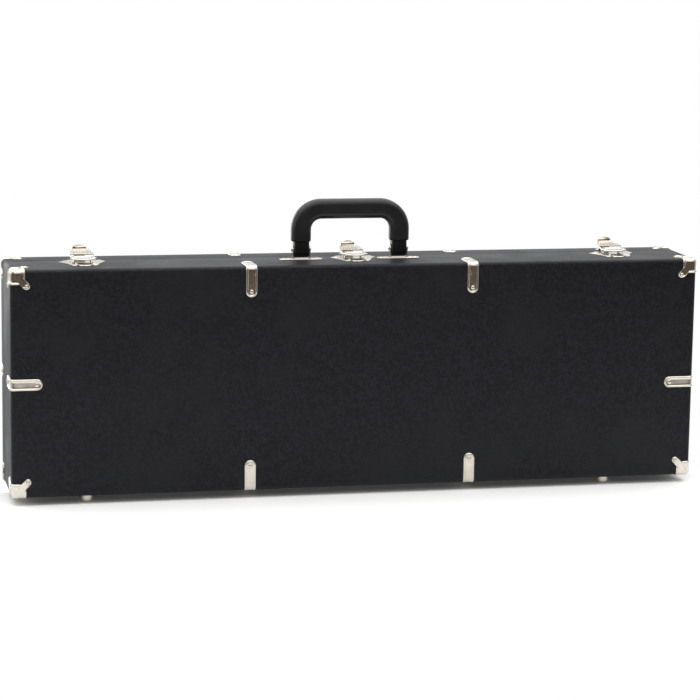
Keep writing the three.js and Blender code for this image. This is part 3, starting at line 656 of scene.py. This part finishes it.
# The plate, from the lever's pin.
PLATE_CENTRE = -13
PLATE_LEVELS = (        # share of the outline, and height over the case
    (1.0, 0.1), (1.0, 0.9), (0.985, 1.4), (0.955, 1.75), (0.92, 1.6), (0.885, 1.1), (0.83, 1.1),
    (0.72, 1.5), (0.6, 1.75), (0.45, 1.85), (0.3, 1.9), (0.15, 1.9), (0.0, 1.9))
PLATE_BEAD = 0.9        # share of the outline outside which the beaded edge lies
BOSS_HEIGHT = 2.6
BOSS_PLACE = (25.5, -3)
BOSS_SPREAD = (5.0, 9.0)
EAR_MIDDLE = 12.25
EAR_THICKNESS = 1.5
EAR_FOOT = 4.2
EAR_HEAD = 2.6
PLATE_NAILS = ((13, -34.5, 1.9, 2.1, 1.1), (6.5, 13, 1.9, 1.9, 0.9))  # x, y, seat, radius, height
PLATE_PIN_END = 16.0

# The lever, from its own pin.
LEVER_HALF = 15.8
LEVER_BACK = -4
LEVER_WIDENS = -14
LIP_HALF = 20
LIP_WIDEST = -16
LIP_REACH = 28
LEVER_DROOP = math.radians(5)
LEVER_LEVELS = (        # how far in from the outline, and height
    (0.9, 1.5), (0.2, 1.8), (0, 2.2), (0.1, 2.9), (0.6, 3.8), (1.4, 4.4), (2.2, 4.4), (3.0, 3.8),
    (3.8, 3.0))
LEVER_RIB_SPACING = 4.1
LEVER_RIB_PLACE = -18.2
LEVER_RIB_BOW = 0.018   # the row of ribs follows the round lip
CHEEK_INSIDE = 14.4
CHEEK_HEAD = 2.9
CHEEK_TOP = 2.6

# The hasp, from its pin on the lever.
HASP_TILT = math.radians(4.8)
HASP_EYE = 2.4
ARM_INSIDE = 16.5
ARM_OUTSIDE = 18
ARM_BEND = 7.5
HASP_START = 15
HASP_REACH = 44.5
HASP_TAPER = 28
HASP_UNDERSIDE = 4
HASP_END_HALF = 10.5
HOOK_DEPTH = 3
TONGUE_SLOPE = math.radians(3.4)
TONGUE_RIB_SPACING = 4.6
TONGUE_RIB_PLACE = 26
TAB_LEAN = math.radians(17)
TAB_SHOULDER = 2.9
TAB_RISE = 4
TAB_ROUNDNESS = 0.7

# The keeper, from the lever's pin.
KEEPER_LIP_HALF = 8.5
KEEPER_SHOULDER = 6


def scalloped_outline(half_width, front_reach, back_reach):
    """A pointed tip at each side, level with the pin, and lobes in front and behind."""
    line = Outline(0, -front_reach)
    to_tip = ((0.22, 1, 0.3, 0.8), (0.42, 1.05, 0.6, 0.72), (0.64, 0.42, 1, 0))
    to_middle = ((0.64, 0.42, 0.6, 0.72), (0.42, 1.05, 0.3, 0.8), (0.22, 1, 0, 1))
    for reach, lobes in ((-front_reach, to_tip), (back_reach, to_middle)):
        for control_x, control_y, x, y in lobes:
            line.curve(control_x * half_width, control_y * reach, x * half_width, y * reach, 7)
    return line.mirrored().done()


def latch_plate(name, pivot):
    """The scalloped plate with a beaded edge, domed sides, two ears and the lever's pin."""
    node = f"latch_{name}_plate"
    low, high = box_mm(node)
    half_width = (high.x - low.x) / 2
    top = TOP - pivot.z
    outline = scalloped_outline(half_width, pivot.y - low.y, high.y - pivot.y)

    def boss(x, y):
        off_x = (abs(x) - BOSS_PLACE[0]) / BOSS_SPREAD[0]
        off_y = (y - BOSS_PLACE[1]) / BOSS_SPREAD[1]
        return BOSS_HEIGHT * math.exp(-off_x ** 2 - off_y ** 2)

    mould = Mould(pivot)
    rings = []
    for share, height in PLATE_LEVELS:
        swell = 0 if share > PLATE_BEAD else 1
        rings.append([(p.x, p.y, top + height + swell * boss(p.x, p.y))
                      for p in shrunk(outline, share, PLATE_CENTRE)])
    mould.rings(rings, cap_first=True)
    for side in (-1, 1):
        ear = Outline(-EAR_FOOT, top + 1).line(EAR_FOOT, top + 1).arc(0, 0, EAR_HEAD, 0, math.pi)
        middle = side * EAR_MIDDLE
        mould.slab(ear.done(), middle - EAR_THICKNESS / 2, middle + EAR_THICKNESS / 2,
                   THIN_ROUNDING, sideways)
        for x, y, seat, radius, height in PLATE_NAILS:
            mould.nail((side * x, y, top + seat), (0, 0, 1), radius, height)
    mould.rod((-PLATE_PIN_END, 0, 0), (PLATE_PIN_END, 0, 0), PIN_RADIUS)
    return nickel_piece(mould, node, "scalloped")


def lever_outline():
    """Straight sides at the back and a wide round lip at the front."""
    line = Outline(LEVER_HALF, LEVER_BACK).line(LEVER_HALF, LEVER_WIDENS)
    line.curve(LIP_HALF, LEVER_WIDENS, LIP_HALF, LIP_WIDEST)
    return line.curve(0.7 * LIP_HALF, -LIP_REACH, 0, -LIP_REACH, 12).mirrored().done()


def latch_lever(name, pivot, hasp_pin):
    """The lever: a round lip with a raised rim, ribs for the finger, and cheeks on both pins."""
    node = f"latch_{name}_lever"
    mould = Mould(pivot)
    mould.turn(LEVER_DROOP)
    mould.plate(lever_outline(), LEVER_LEVELS)
    for i in range(-3, 4):
        x = i * LEVER_RIB_SPACING
        y = LEVER_RIB_PLACE + LEVER_RIB_BOW * x ** 2
        rib = [Vector((x + p.y, y + p.x)) for p in stadium(3.8, 0.95, 5)]
        mould.slab(rib, 2.6, 4.3, 0.6)
    mould.turn(0)
    for side in (-1, 1):
        cheek = Outline(0, -CHEEK_HEAD).arc(0, 0, CHEEK_HEAD, -RIGHT_ANGLE, math.pi / 4)
        cheek.line(LEVER_BACK, CHEEK_TOP).line(hasp_pin.y - CHEEK_TOP, CHEEK_TOP)
        cheek.arc(hasp_pin.y, hasp_pin.z, HASP_EYE, math.pi, 3 * RIGHT_ANGLE)
        low, high = sorted((side * CHEEK_INSIDE, side * LEVER_HALF))
        mould.slab(cheek.done(), low, high, THIN_ROUNDING, sideways)
    pin_end = ARM_OUTSIDE + 0.6
    mould.rod((-pin_end, hasp_pin.y, hasp_pin.z), (pin_end, hasp_pin.y, hasp_pin.z), PIN_RADIUS)
    return nickel_piece(mould, node, "lip")


def latch_hasp(name, origin):
    """The hasp: two arms, a tongue with a raised edge and ribs, a hook and a finger tab."""
    node = f"latch_{name}_hasp"
    top = HASP_UNDERSIDE + LATCH_SHEET
    mould = Mould(origin, HASP_TILT)
    heel = HASP_UNDERSIDE - (HASP_REACH - HASP_START) * math.tan(TONGUE_SLOPE)
    arm = Outline(0, -HASP_EYE)
    arm.curve(ARM_BEND, -HASP_EYE, HASP_START + LATCH_SHEET, heel + LATCH_SHEET / 2)
    arm.line(HASP_START - LATCH_SHEET, heel + LATCH_SHEET)
    arm.curve(ARM_BEND, HASP_EYE, 0, HASP_EYE).arc(0, 0, HASP_EYE, RIGHT_ANGLE, 3 * RIGHT_ANGLE)
    for low, high in ((-ARM_OUTSIDE, -ARM_INSIDE), (ARM_INSIDE, ARM_OUTSIDE)):
        mould.slab(arm.done(), low, high, THIN_ROUNDING, sideways)
    mould.turn(TONGUE_SLOPE, (0, HASP_REACH, HASP_UNDERSIDE))
    tongue = Outline(ARM_OUTSIDE, HASP_START)
    tongue.curve(ARM_OUTSIDE, HASP_TAPER, HASP_END_HALF, HASP_REACH)
    mould.plate(tongue.mirrored().done(), (
        (0.3, HASP_UNDERSIDE), (0, HASP_UNDERSIDE + 0.3), (0, top + 0.5), (0.4, top + 0.9),
        (1.4, top + 0.9), (2.2, top + 0.3), (2.8, top + 0.1)))
    for i in range(-2, 3):
        outline = stadium(8.5 - abs(i), 0.8, 5)
        rib = [Vector((i * TONGUE_RIB_SPACING + p.y, TONGUE_RIB_PLACE + p.x)) for p in outline]
        mould.slab(rib, top - 0.1, top + 0.85, 0.4)
    mould.turn(0)
    end, edge, hook_low = HASP_END_HALF, 0.35, HASP_UNDERSIDE - HOOK_DEPTH
    hook = Outline(end, hook_low).line(end, top + 0.6)
    mould.slab(hook.mirrored().done(), HASP_REACH - LATCH_SHEET, HASP_REACH, edge, upright)
    mould.turn(-TAB_LEAN, (0, HASP_REACH, top))
    shoulder = top + TAB_SHOULDER
    crown = shoulder + TAB_RISE
    tab = Outline(end, top - 0.2).line(end, shoulder).curve(TAB_ROUNDNESS * end, crown, 0, crown)
    mould.slab(tab.mirrored().done(), HASP_REACH - LATCH_SHEET, HASP_REACH, edge, upright)
    return nickel_piece(mould, node, "tongue")


def latch_keeper(name, pivot):
    """The keeper on the lid: a nailed plate and the upright lip that the hook catches."""
    node = f"latch_{name}_keeper"
    low, high = box_mm(node)
    half = (high.x - low.x) / 2
    front, end = low.y - pivot.y, high.y - pivot.y
    floor = low.z - pivot.z
    lip_top = high.z - pivot.z
    shoulder = front + KEEPER_SHOULDER
    outline = Outline(half, front).line(0.86 * half, shoulder).curve(0.72 * half, end, 0, end)
    mould = Mould(pivot)
    mould.slab(outline.mirrored().done(), floor, floor + LATCH_SHEET, 0.4)
    bevel = 1
    lip = Outline(KEEPER_LIP_HALF, floor).line(KEEPER_LIP_HALF, lip_top - bevel)
    lip.line(KEEPER_LIP_HALF - bevel, lip_top)
    mould.slab(lip.mirrored().done(), front, front + LATCH_SHEET, 0.3, upright)
    for side in (-1, 1):
        mould.nail((side * 6.5, front + 7, floor + LATCH_SHEET), (0, 0, 1), 2.0, 1.0)
    return nickel_piece(mould, node, "catch")


for latch_name in ("left", "middle", "right"):
    lever_pivot = joint_place(f"latch_{latch_name}_lever_pivot")
    hasp_pivot = joint_place(f"latch_{latch_name}_hasp_pivot")
    latch_plate(latch_name, lever_pivot)
    latch_lever(latch_name, lever_pivot, hasp_pivot - lever_pivot)
    latch_hasp(latch_name, hasp_pivot)
    latch_keeper(latch_name, lever_pivot)


# ---------------------------------------------------------------- handle

HANDLE_PIN = joint_place("handle_fold")
GRIP_LOW, GRIP_HIGH = box_mm("handle_grip")
GRIP_WIDTH = 30
GRIP_THICKNESS = GRIP_HIGH.y - GRIP_LOW.y
GRIP_ROUNDING = 9
BEND_RADIUS = 31
LEG_X = (GRIP_HIGH.x - GRIP_LOW.x - GRIP_WIDTH) / 2
LEG_START = TOP + 28
BAR_Z = GRIP_HIGH.z - GRIP_WIDTH / 2
NECK_WIDTH = 23
NECK_THICKNESS = 16
NECK_BELOW_PIN = 4.5    # centre of the neck's round end
END_SHARES = ((0, 0.86), (0.7, 0.95), (2.2, 1.0))  # height, and size of the section at a leg's end
CHEEK_HALF = 5.5
CHEEK_THICKNESS = 1.8
CHEEK_CLEARANCE = 0.5
BRACKET_NAILS = (26.5, 18.5)
RIVET = (3.6, 1.4)
HANDLE_PIN_RADIUS = 2.2


def grip_path():
    """Places and directions along the grip's centre line, in X and Z."""
    leg = BAR_Z - BEND_RADIUS - LEG_START
    across = 2 * (LEG_X - BEND_RADIUS)
    path = [(Vector((-LEG_X, LEG_START + leg * i / 6)), Vector((0, 1))) for i in range(6)]
    centre = Vector((-LEG_X + BEND_RADIUS, BAR_Z - BEND_RADIUS))
    path += [(centre + Vector((-cos, sin)) * BEND_RADIUS, Vector((sin, cos))) for cos, sin in turns(16)]
    for i in range(1, 8):
        path.append((Vector((-across / 2 + across * i / 16, BAR_Z)), Vector((1, 0))))
    middle = [(Vector((0, BAR_Z)), Vector((1, 0)))]
    other = [(Vector((-p.x, p.y)), Vector((d.x, -d.y))) for p, d in reversed(path)]
    return path + middle + other


def grip_section(share=1.0):
    """A rounded section as pairs: front to back, and across the grip."""
    return rounded_rectangle(share * GRIP_THICKNESS / 2, share * GRIP_WIDTH / 2,
                             share * GRIP_ROUNDING, 7)


def handle_grip():
    """The moulded grip with rounded leg ends, and the two necks on the pins."""
    centre_x = middle_of("handle_grip").x
    mould = Mould((centre_x, HANDLE_PIN.y, 0))
    path = grip_path()
    (first, up), (last, down) = path[0], path[-1]
    stations = [(first + Vector((0, height)), up, share) for height, share in END_SHARES]
    stations += [(place, way, 1.0) for place, way in path[1:-1]]
    stations += [(last + Vector((0, height)), down, share) for height, share in END_SHARES[::-1]]
    rings = []
    for place, way, share in stations:
        across = Vector((-way.y, way.x))
        rings.append([(place.x + across.x * b, a, place.y + across.y * b)
                      for a, b in grip_section(share)])
    mould.rings(rings, cap_first=True, cap_last=True)
    half = NECK_THICKNESS / 2
    low = HANDLE_PIN.z - NECK_BELOW_PIN
    neck = Outline(half, low).line(half, LEG_START + 3).line(-half, LEG_START + 3)
    neck.line(-half, low).arc(0, low, half, math.pi, 2 * math.pi)
    for side in ("left", "right"):
        x = middle_of(f"handle_bracket_{side}").x - centre_x
        mould.slab(neck.done(), x - NECK_WIDTH / 2, x + NECK_WIDTH / 2, 1.6, sideways)
    return stand_for(mould.finish("handle_moulding", PLASTIC, 50), "handle_grip")


def handle_bracket(side):
    """A long nailed plate with two cheeks beside the neck."""
    node = f"handle_bracket_{side}"
    low, high = box_mm(node)
    mould = Mould((middle_of(node).x, HANDLE_PIN.y, 0))
    half_length = (high.x - low.x) / 2
    half_depth = (high.y - low.y) / 2
    mould.plate(stadium(half_length, half_depth), (
        (0, low.z), (0, low.z + 0.8), (0.3, low.z + 1.3), (0.9, low.z + 1.6), (1.6, low.z + 1.4),
        (2.2, low.z + 1.2)))
    inside = NECK_WIDTH / 2 + CHEEK_CLEARANCE
    outside = inside + CHEEK_THICKNESS
    cheek = Outline(-CHEEK_HALF, low.z).line(CHEEK_HALF, low.z).line(CHEEK_HALF, HANDLE_PIN.z)
    cheek.arc(0, HANDLE_PIN.z, CHEEK_HALF, 0, math.pi)
    for start, end in ((-outside, -inside), (inside, outside)):
        mould.slab(cheek.done(), start, end, 0.45, sideways)
    for sign in (-1, 1):
        for off in BRACKET_NAILS:
            mould.nail((sign * off, 0, low.z + 1.0), (0, 0, 1), 2.3, 1.2)
    return nickel_piece(mould, node, "plate")


def handle_pin(side):
    """A pin with a riveted head at each end."""
    node = f"handle_pin_{side}"
    low, high = box_mm(node)
    centre = middle_of(node)
    mould = Mould(centre)
    half = (high.x - low.x) / 2
    mould.rod((-half + 1, 0, 0), (half - 1, 0, 0), HANDLE_PIN_RADIUS)
    for sign in (-1, 1):
        mould.nail((sign * (half - 1.5), 0, 0), (sign, 0, 0), *RIVET)
    return nickel_piece(mould, node, "rivet")


handle_grip()
for handle_side in ("left", "right"):
    handle_bracket(handle_side)
    handle_pin(handle_side)


# ---------------------------------------------------------------- hinges and feet

HINGE_AXIS = joint_place("lid_hinge")
KNUCKLE_RADIUS = 3
KNUCKLE_HALF = 8
LEAF_THICKNESS = 1.4
LEAF_CORNER = 3
LEAF_NAILS = (-17, 0, 17)
LEAF_NAIL_PLACE = 10.5  # from the pin
PIN_STICKS_OUT = 0.4
FOOT_PROFILE = (        # radius and height, up to the rolled rim
    (0.8, 0.0), (6, 0), (8.3, 0.25), (9.8, 1.2), (10.7, 3.0), (11.1, 5.5), (11.2, 9.4))
FOOT_RIM = ((0.2, 10.0), (0, 10.7), (0.2, 11.4), (0.8, 11.7))  # in from the widest radius, and height


def hinge_leaf(name, half, sign, spans):
    """A leaf under one half with its rolled knuckles and three nails."""
    node = f"hinge_{name}_{half}_leaf"
    low, high = box_mm(node)
    x = middle_of(node).x
    edge = max(abs(low.y - HINGE_AXIS.y), abs(high.y - HINGE_AXIS.y))
    mould = Mould((x, HINGE_AXIS.y, 0))
    end = (high.x - low.x) / 2
    near, far = sign * 1.6, sign * edge
    turn = far - sign * LEAF_CORNER
    outline = Outline(end, near).line(end, turn).curve(end, far, end - LEAF_CORNER, far, 5)
    mould.slab(outline.mirrored().done(), high.z - LEAF_THICKNESS, high.z, 0.35)
    for start, stop in spans:
        mould.rod((start, 0, HINGE_AXIS.z), (stop, 0, HINGE_AXIS.z), KNUCKLE_RADIUS)
    for off in LEAF_NAILS:
        mould.nail((off, sign * LEAF_NAIL_PLACE, high.z - 1.3), (0, 0, -1), 2.1, 1.0)
    return nickel_piece(mould, node, "nailed")


def hinge_pin(name):
    """The pin through the knuckles, a little domed at its ends."""
    node = f"hinge_{name}_pin"
    low, high = box_mm(node)
    mould = Mould((0, HINGE_AXIS.y, HINGE_AXIS.z))
    mould.rod((low.x - PIN_STICKS_OUT, 0, 0), (high.x + PIN_STICKS_OUT, 0, 0), PIN_RADIUS, 0.5)
    return nickel_piece(mould, node, "rod")


def foot(node):
    """A domed nickel button with a rolled rim."""
    low, high = box_mm(node)
    radius = (high.x - low.x) / 2
    centre = middle_of(node)
    profile = list(FOOT_PROFILE) + [(radius - inward, height) for inward, height in FOOT_RIM]
    mould = Mould((centre.x, centre.y, low.z))
    mould.turned((0, 0, 0), (0, 0, 1), profile, 48)
    return stand_for(mould.finish(f"{node}_button", FOOT_NICKEL, 50), node)


for hinge_name in ("left", "middle", "right"):
    hinge_end = box_mm(f"hinge_{hinge_name}_pin")[1].x - middle_of(f"hinge_{hinge_name}_pin").x
    inner, outer = KNUCKLE_HALF - GAP, KNUCKLE_HALF + GAP
    hinge_leaf(hinge_name, "base", -1, ((-hinge_end, -outer), (outer, hinge_end)))
    hinge_leaf(hinge_name, "lid", 1, ((-inner, inner),))
    hinge_pin(hinge_name)
for foot_half in ("base", "lid"):
    for foot_side in ("left", "right"):
        foot(f"{foot_half}_foot_{foot_side}")


# ---------------------------------------------------------------- plush lining

PUFF_FRAMES = 24
PUFF_RISE = 2.2         # what the cloth simulation adds to a bed
CLOTH_SETTINGS = {
    "quality": 5, "mass": 0.3, "tension_stiffness": 18, "compression_stiffness": 18,
    "shear_stiffness": 8, "bending_stiffness": 2.0, "vertex_group_mass": "held",
    "use_pressure": True, "uniform_pressure_force": 1.2}
PAD_EDGE = ((0, 2.5), (0.8, 0.7), (2.5, 0))  # below the free face, and how far in
HELD_BELOW = 0.3        # of the free face; the cloth is pinned from there down
BAND_SWELL = 0.9
UNDER_BAND = 0.6        # how far a bed reaches under the band round it
NECK_SLOPE = 14
NECK_NOTCH = 31
NECK_EDGE = ((4, 0), (1.6, 0.6), (0.4, 2), (0, 4.5))  # how far in, and how far from the end
STORE_WALL = 5
STORE_CORNER = 2.2
STORE_CROWN = 0.8       # height of the rounded rim against its half width
FLAP_SUNK = 0.8
SOFT_PIECES = []


def round_rim(crown, steps=6):
    """Half a circle over the top of a wall: how far across it, and how far below the top."""
    return [(crown - crown * cos, crown * (1 - sin)) for cos, sin in turns(steps, math.pi)]


def lining_band(name, floor_y, rim_y):
    """The plush on the four side walls: a band with a rounded free edge and a soft inner side."""
    inward = 1 if rim_y > floor_y else -1
    outer = FRAME_WALL + GAP
    inner = outer + LINING
    crown = LINING / 2
    profile = [(outer, floor_y)]
    profile += [(outer + across, rim_y - inward * down) for across, down in round_rim(crown)]
    run = abs(rim_y - floor_y)
    for i in range(1, 6):
        share = i / 5
        swell = BAND_SWELL * math.sin(math.pi * share)
        profile.append((inner + swell, rim_y - inward * (crown + (run - crown) * share)))
    mould = Mould()
    mould.rings([frame_ring(draw, y) for draw, y in profile], joined=True)
    return mould.finish(name, PLUSH, 60)


def pad(name, low, high, way, spacing=13.0):
    """A flat foam pad covered in plush, with its free face a grid and the rest a box.

    way is +1 or -1, the way along Y that the free face looks.
    """
    count_x = max(4, int((high.x - low.x) / spacing))
    count_z = max(4, int((high.z - low.z) / spacing))
    face_y, back_y = (high.y, low.y) if way > 0 else (low.y, high.y)
    mould = Mould()

    def grid(y, draw):
        rows = []
        for k in range(count_z + 1):
            z = low.z + draw + (high.z - low.z - 2 * draw) * k / count_z
            rows.append([(low.x + draw + (high.x - low.x - 2 * draw) * i / count_x, y, z)
                         for i in range(count_x + 1)])
        return rows

    def border(y, draw):
        rows = grid(y, draw)
        ring = list(rows[0])
        ring += [row[-1] for row in rows[1:]]
        ring += rows[-1][-2::-1]
        ring += [row[0] for row in rows[-2:0:-1]]
        return ring

    mould.rings(grid(face_y, PAD_EDGE[0][1]), around=False)
    sides = [border(face_y - way * down, draw) for down, draw in PAD_EDGE]
    mould.rings(sides + [border(back_y, 0)], cap_last=True)
    piece = mould.finish(name, PLUSH, 60)
    limit = (face_y - way * HELD_BELOW) * MM
    held = [v.index for v in piece.data.vertices if way * (v.co.y - limit) < 0]
    SOFT_PIECES.append((piece, held))
    return piece


def puff_up():
    """Blows every pad up a little with a cloth simulation and keeps the result."""
    scene = bpy.context.scene
    for piece, held in SOFT_PIECES:
        group = piece.vertex_groups.new(name="held")
        group.add(held, 1.0, "REPLACE")
        cloth = piece.modifiers.new("puff", "CLOTH")
        for setting, value in CLOTH_SETTINGS.items():
            setattr(cloth.settings, setting, value)
        cloth.settings.effector_weights.gravity = 0.0
        cloth.collision_settings.use_collision = False
        cloth.point_cache.frame_end = PUFF_FRAMES
    for step in range(1, PUFF_FRAMES + 1):
        scene.frame_set(step)
    graph = bpy.context.evaluated_depsgraph_get()
    results = [bpy.data.meshes.new_from_object(p.evaluated_get(graph)) for p, _ in SOFT_PIECES]
    for (piece, _), mesh in zip(SOFT_PIECES, results):
        piece.modifiers.clear()
        piece.vertex_groups.clear()
        piece.data = mesh
    scene.frame_set(1)


def soften(piece):
    """Rounds a pad by subdivision."""
    smooth = piece.modifiers.new("soft_form", "SUBSURF")
    smooth.levels = 1
    smooth.render_levels = 2


def beds():
    """The linings: a band on the walls and a padded bed on the panel, for either half."""
    rise = box_mm("base_lining")[1].y
    inner = FRAME_WALL + GAP + LINING - UNDER_BAND
    low = Vector((-END + inner, 0, BOTTOM + inner))
    high = Vector((END - inner, 0, TOP - inner))
    halves = (("base", FRONT + PANEL_WALL + GAP, BED - PUFF_RISE, 1, rise),
              ("lid", BACK - PANEL_WALL - GAP, ROOF + PUFF_RISE, -1, box_mm("lid_lining")[0].y))
    for half, floor_y, face_y, way, rim_y in halves:
        band = lining_band(f"{half}_lining_band", floor_y, rim_y)
        low.y, high.y = sorted((floor_y, face_y))
        bed = pad(f"{half}_lining_bed", low, high, way)
        body = f"case_{half}"
        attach(band, body)
        stand_for(bed, f"{half}_lining")


def neck_rest():
    """A padded block with sloping ends and a round notch for the neck."""
    low, high = box_mm("neck_rest")
    line = Outline(low.y, low.z).line(high.y, low.z + NECK_SLOPE).line(high.y, MIDDLE - NECK_NOTCH)
    line.arc(high.y, MIDDLE, NECK_NOTCH, -RIGHT_ANGLE, -3 * RIGHT_ANGLE, 20)
    line.line(high.y, high.z - NECK_SLOPE).line(low.y, high.z)
    levels = [(draw, low.x + off) for draw, off in NECK_EDGE]
    levels += [(draw, high.x - off) for draw, off in NECK_EDGE[::-1]]
    mould = Mould()
    mould.plate(line.done(), levels, sideways)
    piece = mould.finish("neck_rest_pad", PLUSH, 60)
    stand_for(piece, "neck_rest")


def store_box():
    """The store box: plush-covered walls, open towards the lid."""
    low, high = box_mm("store_box")
    centre = (low + high) / 2
    half_x, half_z = (high.x - low.x) / 2, (high.z - low.z) / 2

    def ring(draw, y):
        flat = rounded_rectangle(half_x - draw, half_z - draw, max(STORE_CORNER - draw, 0.5), 4)
        return [(centre.x + x, y, centre.z + z) for x, z in flat]

    profile = [(0, low.y)]
    profile += [(across, high.y - STORE_CROWN * down) for across, down in round_rim(STORE_WALL / 2)]
    profile.append((STORE_WALL, low.y + STORE_WALL))
    mould = Mould()
    mould.rings([ring(draw, y) for draw, y in profile], cap_first=True, cap_last=True)
    piece = mould.finish("store_box_plush", PLUSH, 50)
    stand_for(piece, "store_box")


def store_flap():
    """The padded flap of the store box."""
    low, high = box_mm("store_lid")
    piece = pad("store_flap_pad", low, high - Vector((0, FLAP_SUNK, 0)), 1, spacing=6.0)
    stand_for(piece, "store_lid")


beds()
neck_rest()
store_box()
store_flap()
puff_up()
for soft_piece, _ in SOFT_PIECES:
    soften(soft_piece)


# ---------------------------------------------------------------- floor, light and camera

FLOOR_HALF_LENGTH = 1300
FLOOR_HALF_DEPTH = 780
FLOOR_SHIFT = -0.36     # metres
FLOOR_FADE = (0.62, 0.98)  # shares of the half sizes between which it turns clear
BEFORE_HINGES = 5
WORLD_STOPS = (         # from the front to the back
    (0.13, (0.11, 0.085, 0.065, 1)), (0.5, (0.80, 0.79, 0.76, 1)), (0.85, (1.0, 1.01, 1.03, 1)))
WORLD_RISE = 0.3        # how much brighter the world is overhead


def studio_floor():
    """A pale floor that fades into the white of the studio.

    It ends under the case, because the open lid swings down behind and lower than the feet.
    """
    looks = Looks("studio_floor")
    looks.steady(Roughness=0.9, Specular_IOR_Level=0.1, Emission_Strength=0.03,
                 Base_Color=(0.9, 0.9, 0.9, 1), Emission_Color=(1, 1, 1, 1))
    distance = looks.nodes.new("ShaderNodeVectorMath")
    distance.operation = "LENGTH"
    reach = looks.stretched(1 / (FLOOR_HALF_LENGTH * MM), 1 / (FLOOR_HALF_DEPTH * MM), 0)
    looks.links.new(reach, distance.inputs[0])
    fade = looks.nodes.new("ShaderNodeMixShader")
    clear = looks.nodes.new("ShaderNodeBsdfTransparent")
    looks.links.new(looks.ranged(distance.outputs["Value"], *FLOOR_FADE), fade.inputs["Fac"])
    looks.links.new(looks.shader.outputs["BSDF"], fade.inputs[1])
    looks.links.new(clear.outputs["BSDF"], fade.inputs[2])
    looks.links.new(fade.outputs["Shader"], looks.nodes["Material Output"].inputs["Surface"])
    x = FLOOR_HALF_LENGTH
    front, back = -FLOOR_HALF_DEPTH, SPLIT - BEFORE_HINGES - FLOOR_SHIFT / MM
    mould = Mould()
    mould.rings([[(-x, front, 0), (x, front, 0)], [(-x, back, 0), (x, back, 0)]], around=False)
    floor = mould.finish("studio_floor", looks.material)
    floor.location.y = FLOOR_SHIFT


def studio_world():
    """White for the camera; for the light it is bright behind, dim and warm in front."""
    world = bpy.data.worlds.new("studio")
    world.use_nodes = True
    nodes, links = world.node_tree.nodes, world.node_tree.links
    nodes.clear()
    kinds = ("OutputWorld", "Background", "Background", "MixShader", "LightPath", "TexCoord",
             "SeparateXYZ", "ValToRGB", "MapRange", "Math")
    output, seen, lit, mix, rays, place, parts, ramp, backward, raised = (
        nodes.new(f"ShaderNode{kind}") for kind in kinds)
    seen.inputs["Color"].default_value = (1, 1, 1, 1)
    stops = ramp.color_ramp.elements
    stops.new(WORLD_STOPS[-1][0])
    for stop, (position, colour) in zip(stops, WORLD_STOPS):
        stop.position = position
        stop.color = colour
    backward.inputs["From Min"].default_value = -1
    raised.operation = "MULTIPLY_ADD"
    raised.inputs[1].default_value = WORLD_RISE
    for start, end in (
            (place.outputs["Generated"], parts.inputs["Vector"]),
            (parts.outputs["Y"], backward.inputs["Value"]),
            (parts.outputs["Z"], raised.inputs[0]),
            (backward.outputs["Result"], raised.inputs[2]),
            (raised.outputs["Value"], ramp.inputs["Fac"]),
            (ramp.outputs["Color"], lit.inputs["Color"]),
            (rays.outputs["Is Camera Ray"], mix.inputs["Fac"]),
            (lit.outputs["Background"], mix.inputs[1]),
            (seen.outputs["Background"], mix.inputs[2]),
            (mix.outputs["Shader"], output.inputs["Surface"])):
        links.new(start, end)
    bpy.context.scene.world = world


def area_light(name, place, aim, width, depth, power):
    """A rectangular light of so many metres and watts that looks at the aim."""
    data = bpy.data.lights.new(name, "AREA")
    data.shape = "RECTANGLE"
    data.size = width
    data.size_y = depth
    data.energy = power
    light = placed(name, data)
    light.location = place
    light.rotation_euler = (Vector(aim) - Vector(place)).to_track_quat("-Z", "Y").to_euler()


def studio_light():
    """A wide soft light overhead and three weak windows that the metal mirrors."""
    area_light("overhead", (0, 0.1, 2.6), (0, 0, 0), 5.2, 4.2, 115)
    area_light("left_window", (-3.2, -0.4, 1.2), (0, 0, 0.2), 1.6, 1.6, 12)
    area_light("left_back_window", (-1.1, 3.4, 0.5), (-0.5, 0, 0.2), 1.0, 1.2, 10)
    area_light("high_window_in_front", (0.5, -3.4, 2.3), (0, 0, 0.35), 2.6, 1.2, 15)


LENS = 133.5
SENSOR = 36
CAMERA_DISTANCE = 3.997
CAMERA_AIM = Vector((-0.0025, 0, 0.2109))
CAMERA_YAW = math.radians(12.95)
CAMERA_PITCH = math.radians(9.82)
CAMERA_ROLL = math.radians(0.84)


def studio_camera():
    """A long lens a little above the case and left of its middle."""
    forward = Vector((
        math.sin(CAMERA_YAW) * math.cos(CAMERA_PITCH), math.cos(CAMERA_YAW) * math.cos(CAMERA_PITCH),
        -math.sin(CAMERA_PITCH)))
    level = Vector((math.cos(CAMERA_YAW), -math.sin(CAMERA_YAW), 0))
    up = level.cross(forward)
    right = math.cos(CAMERA_ROLL) * level + math.sin(CAMERA_ROLL) * up
    turned_up = right.cross(forward)
    data = bpy.data.cameras.new("photo_view")
    data.lens = LENS
    data.sensor_width = SENSOR
    data.clip_end = 50
    camera = placed("photo_view", data)
    axes = Matrix((right, turned_up, -forward)).transposed().to_4x4()
    camera.matrix_world = Matrix.Translation(CAMERA_AIM - CAMERA_DISTANCE * forward) @ axes
    bpy.context.scene.camera = camera


studio_floor()
studio_world()
studio_light()
studio_camera()
bpy.context.scene.view_settings.view_transform = "Standard"
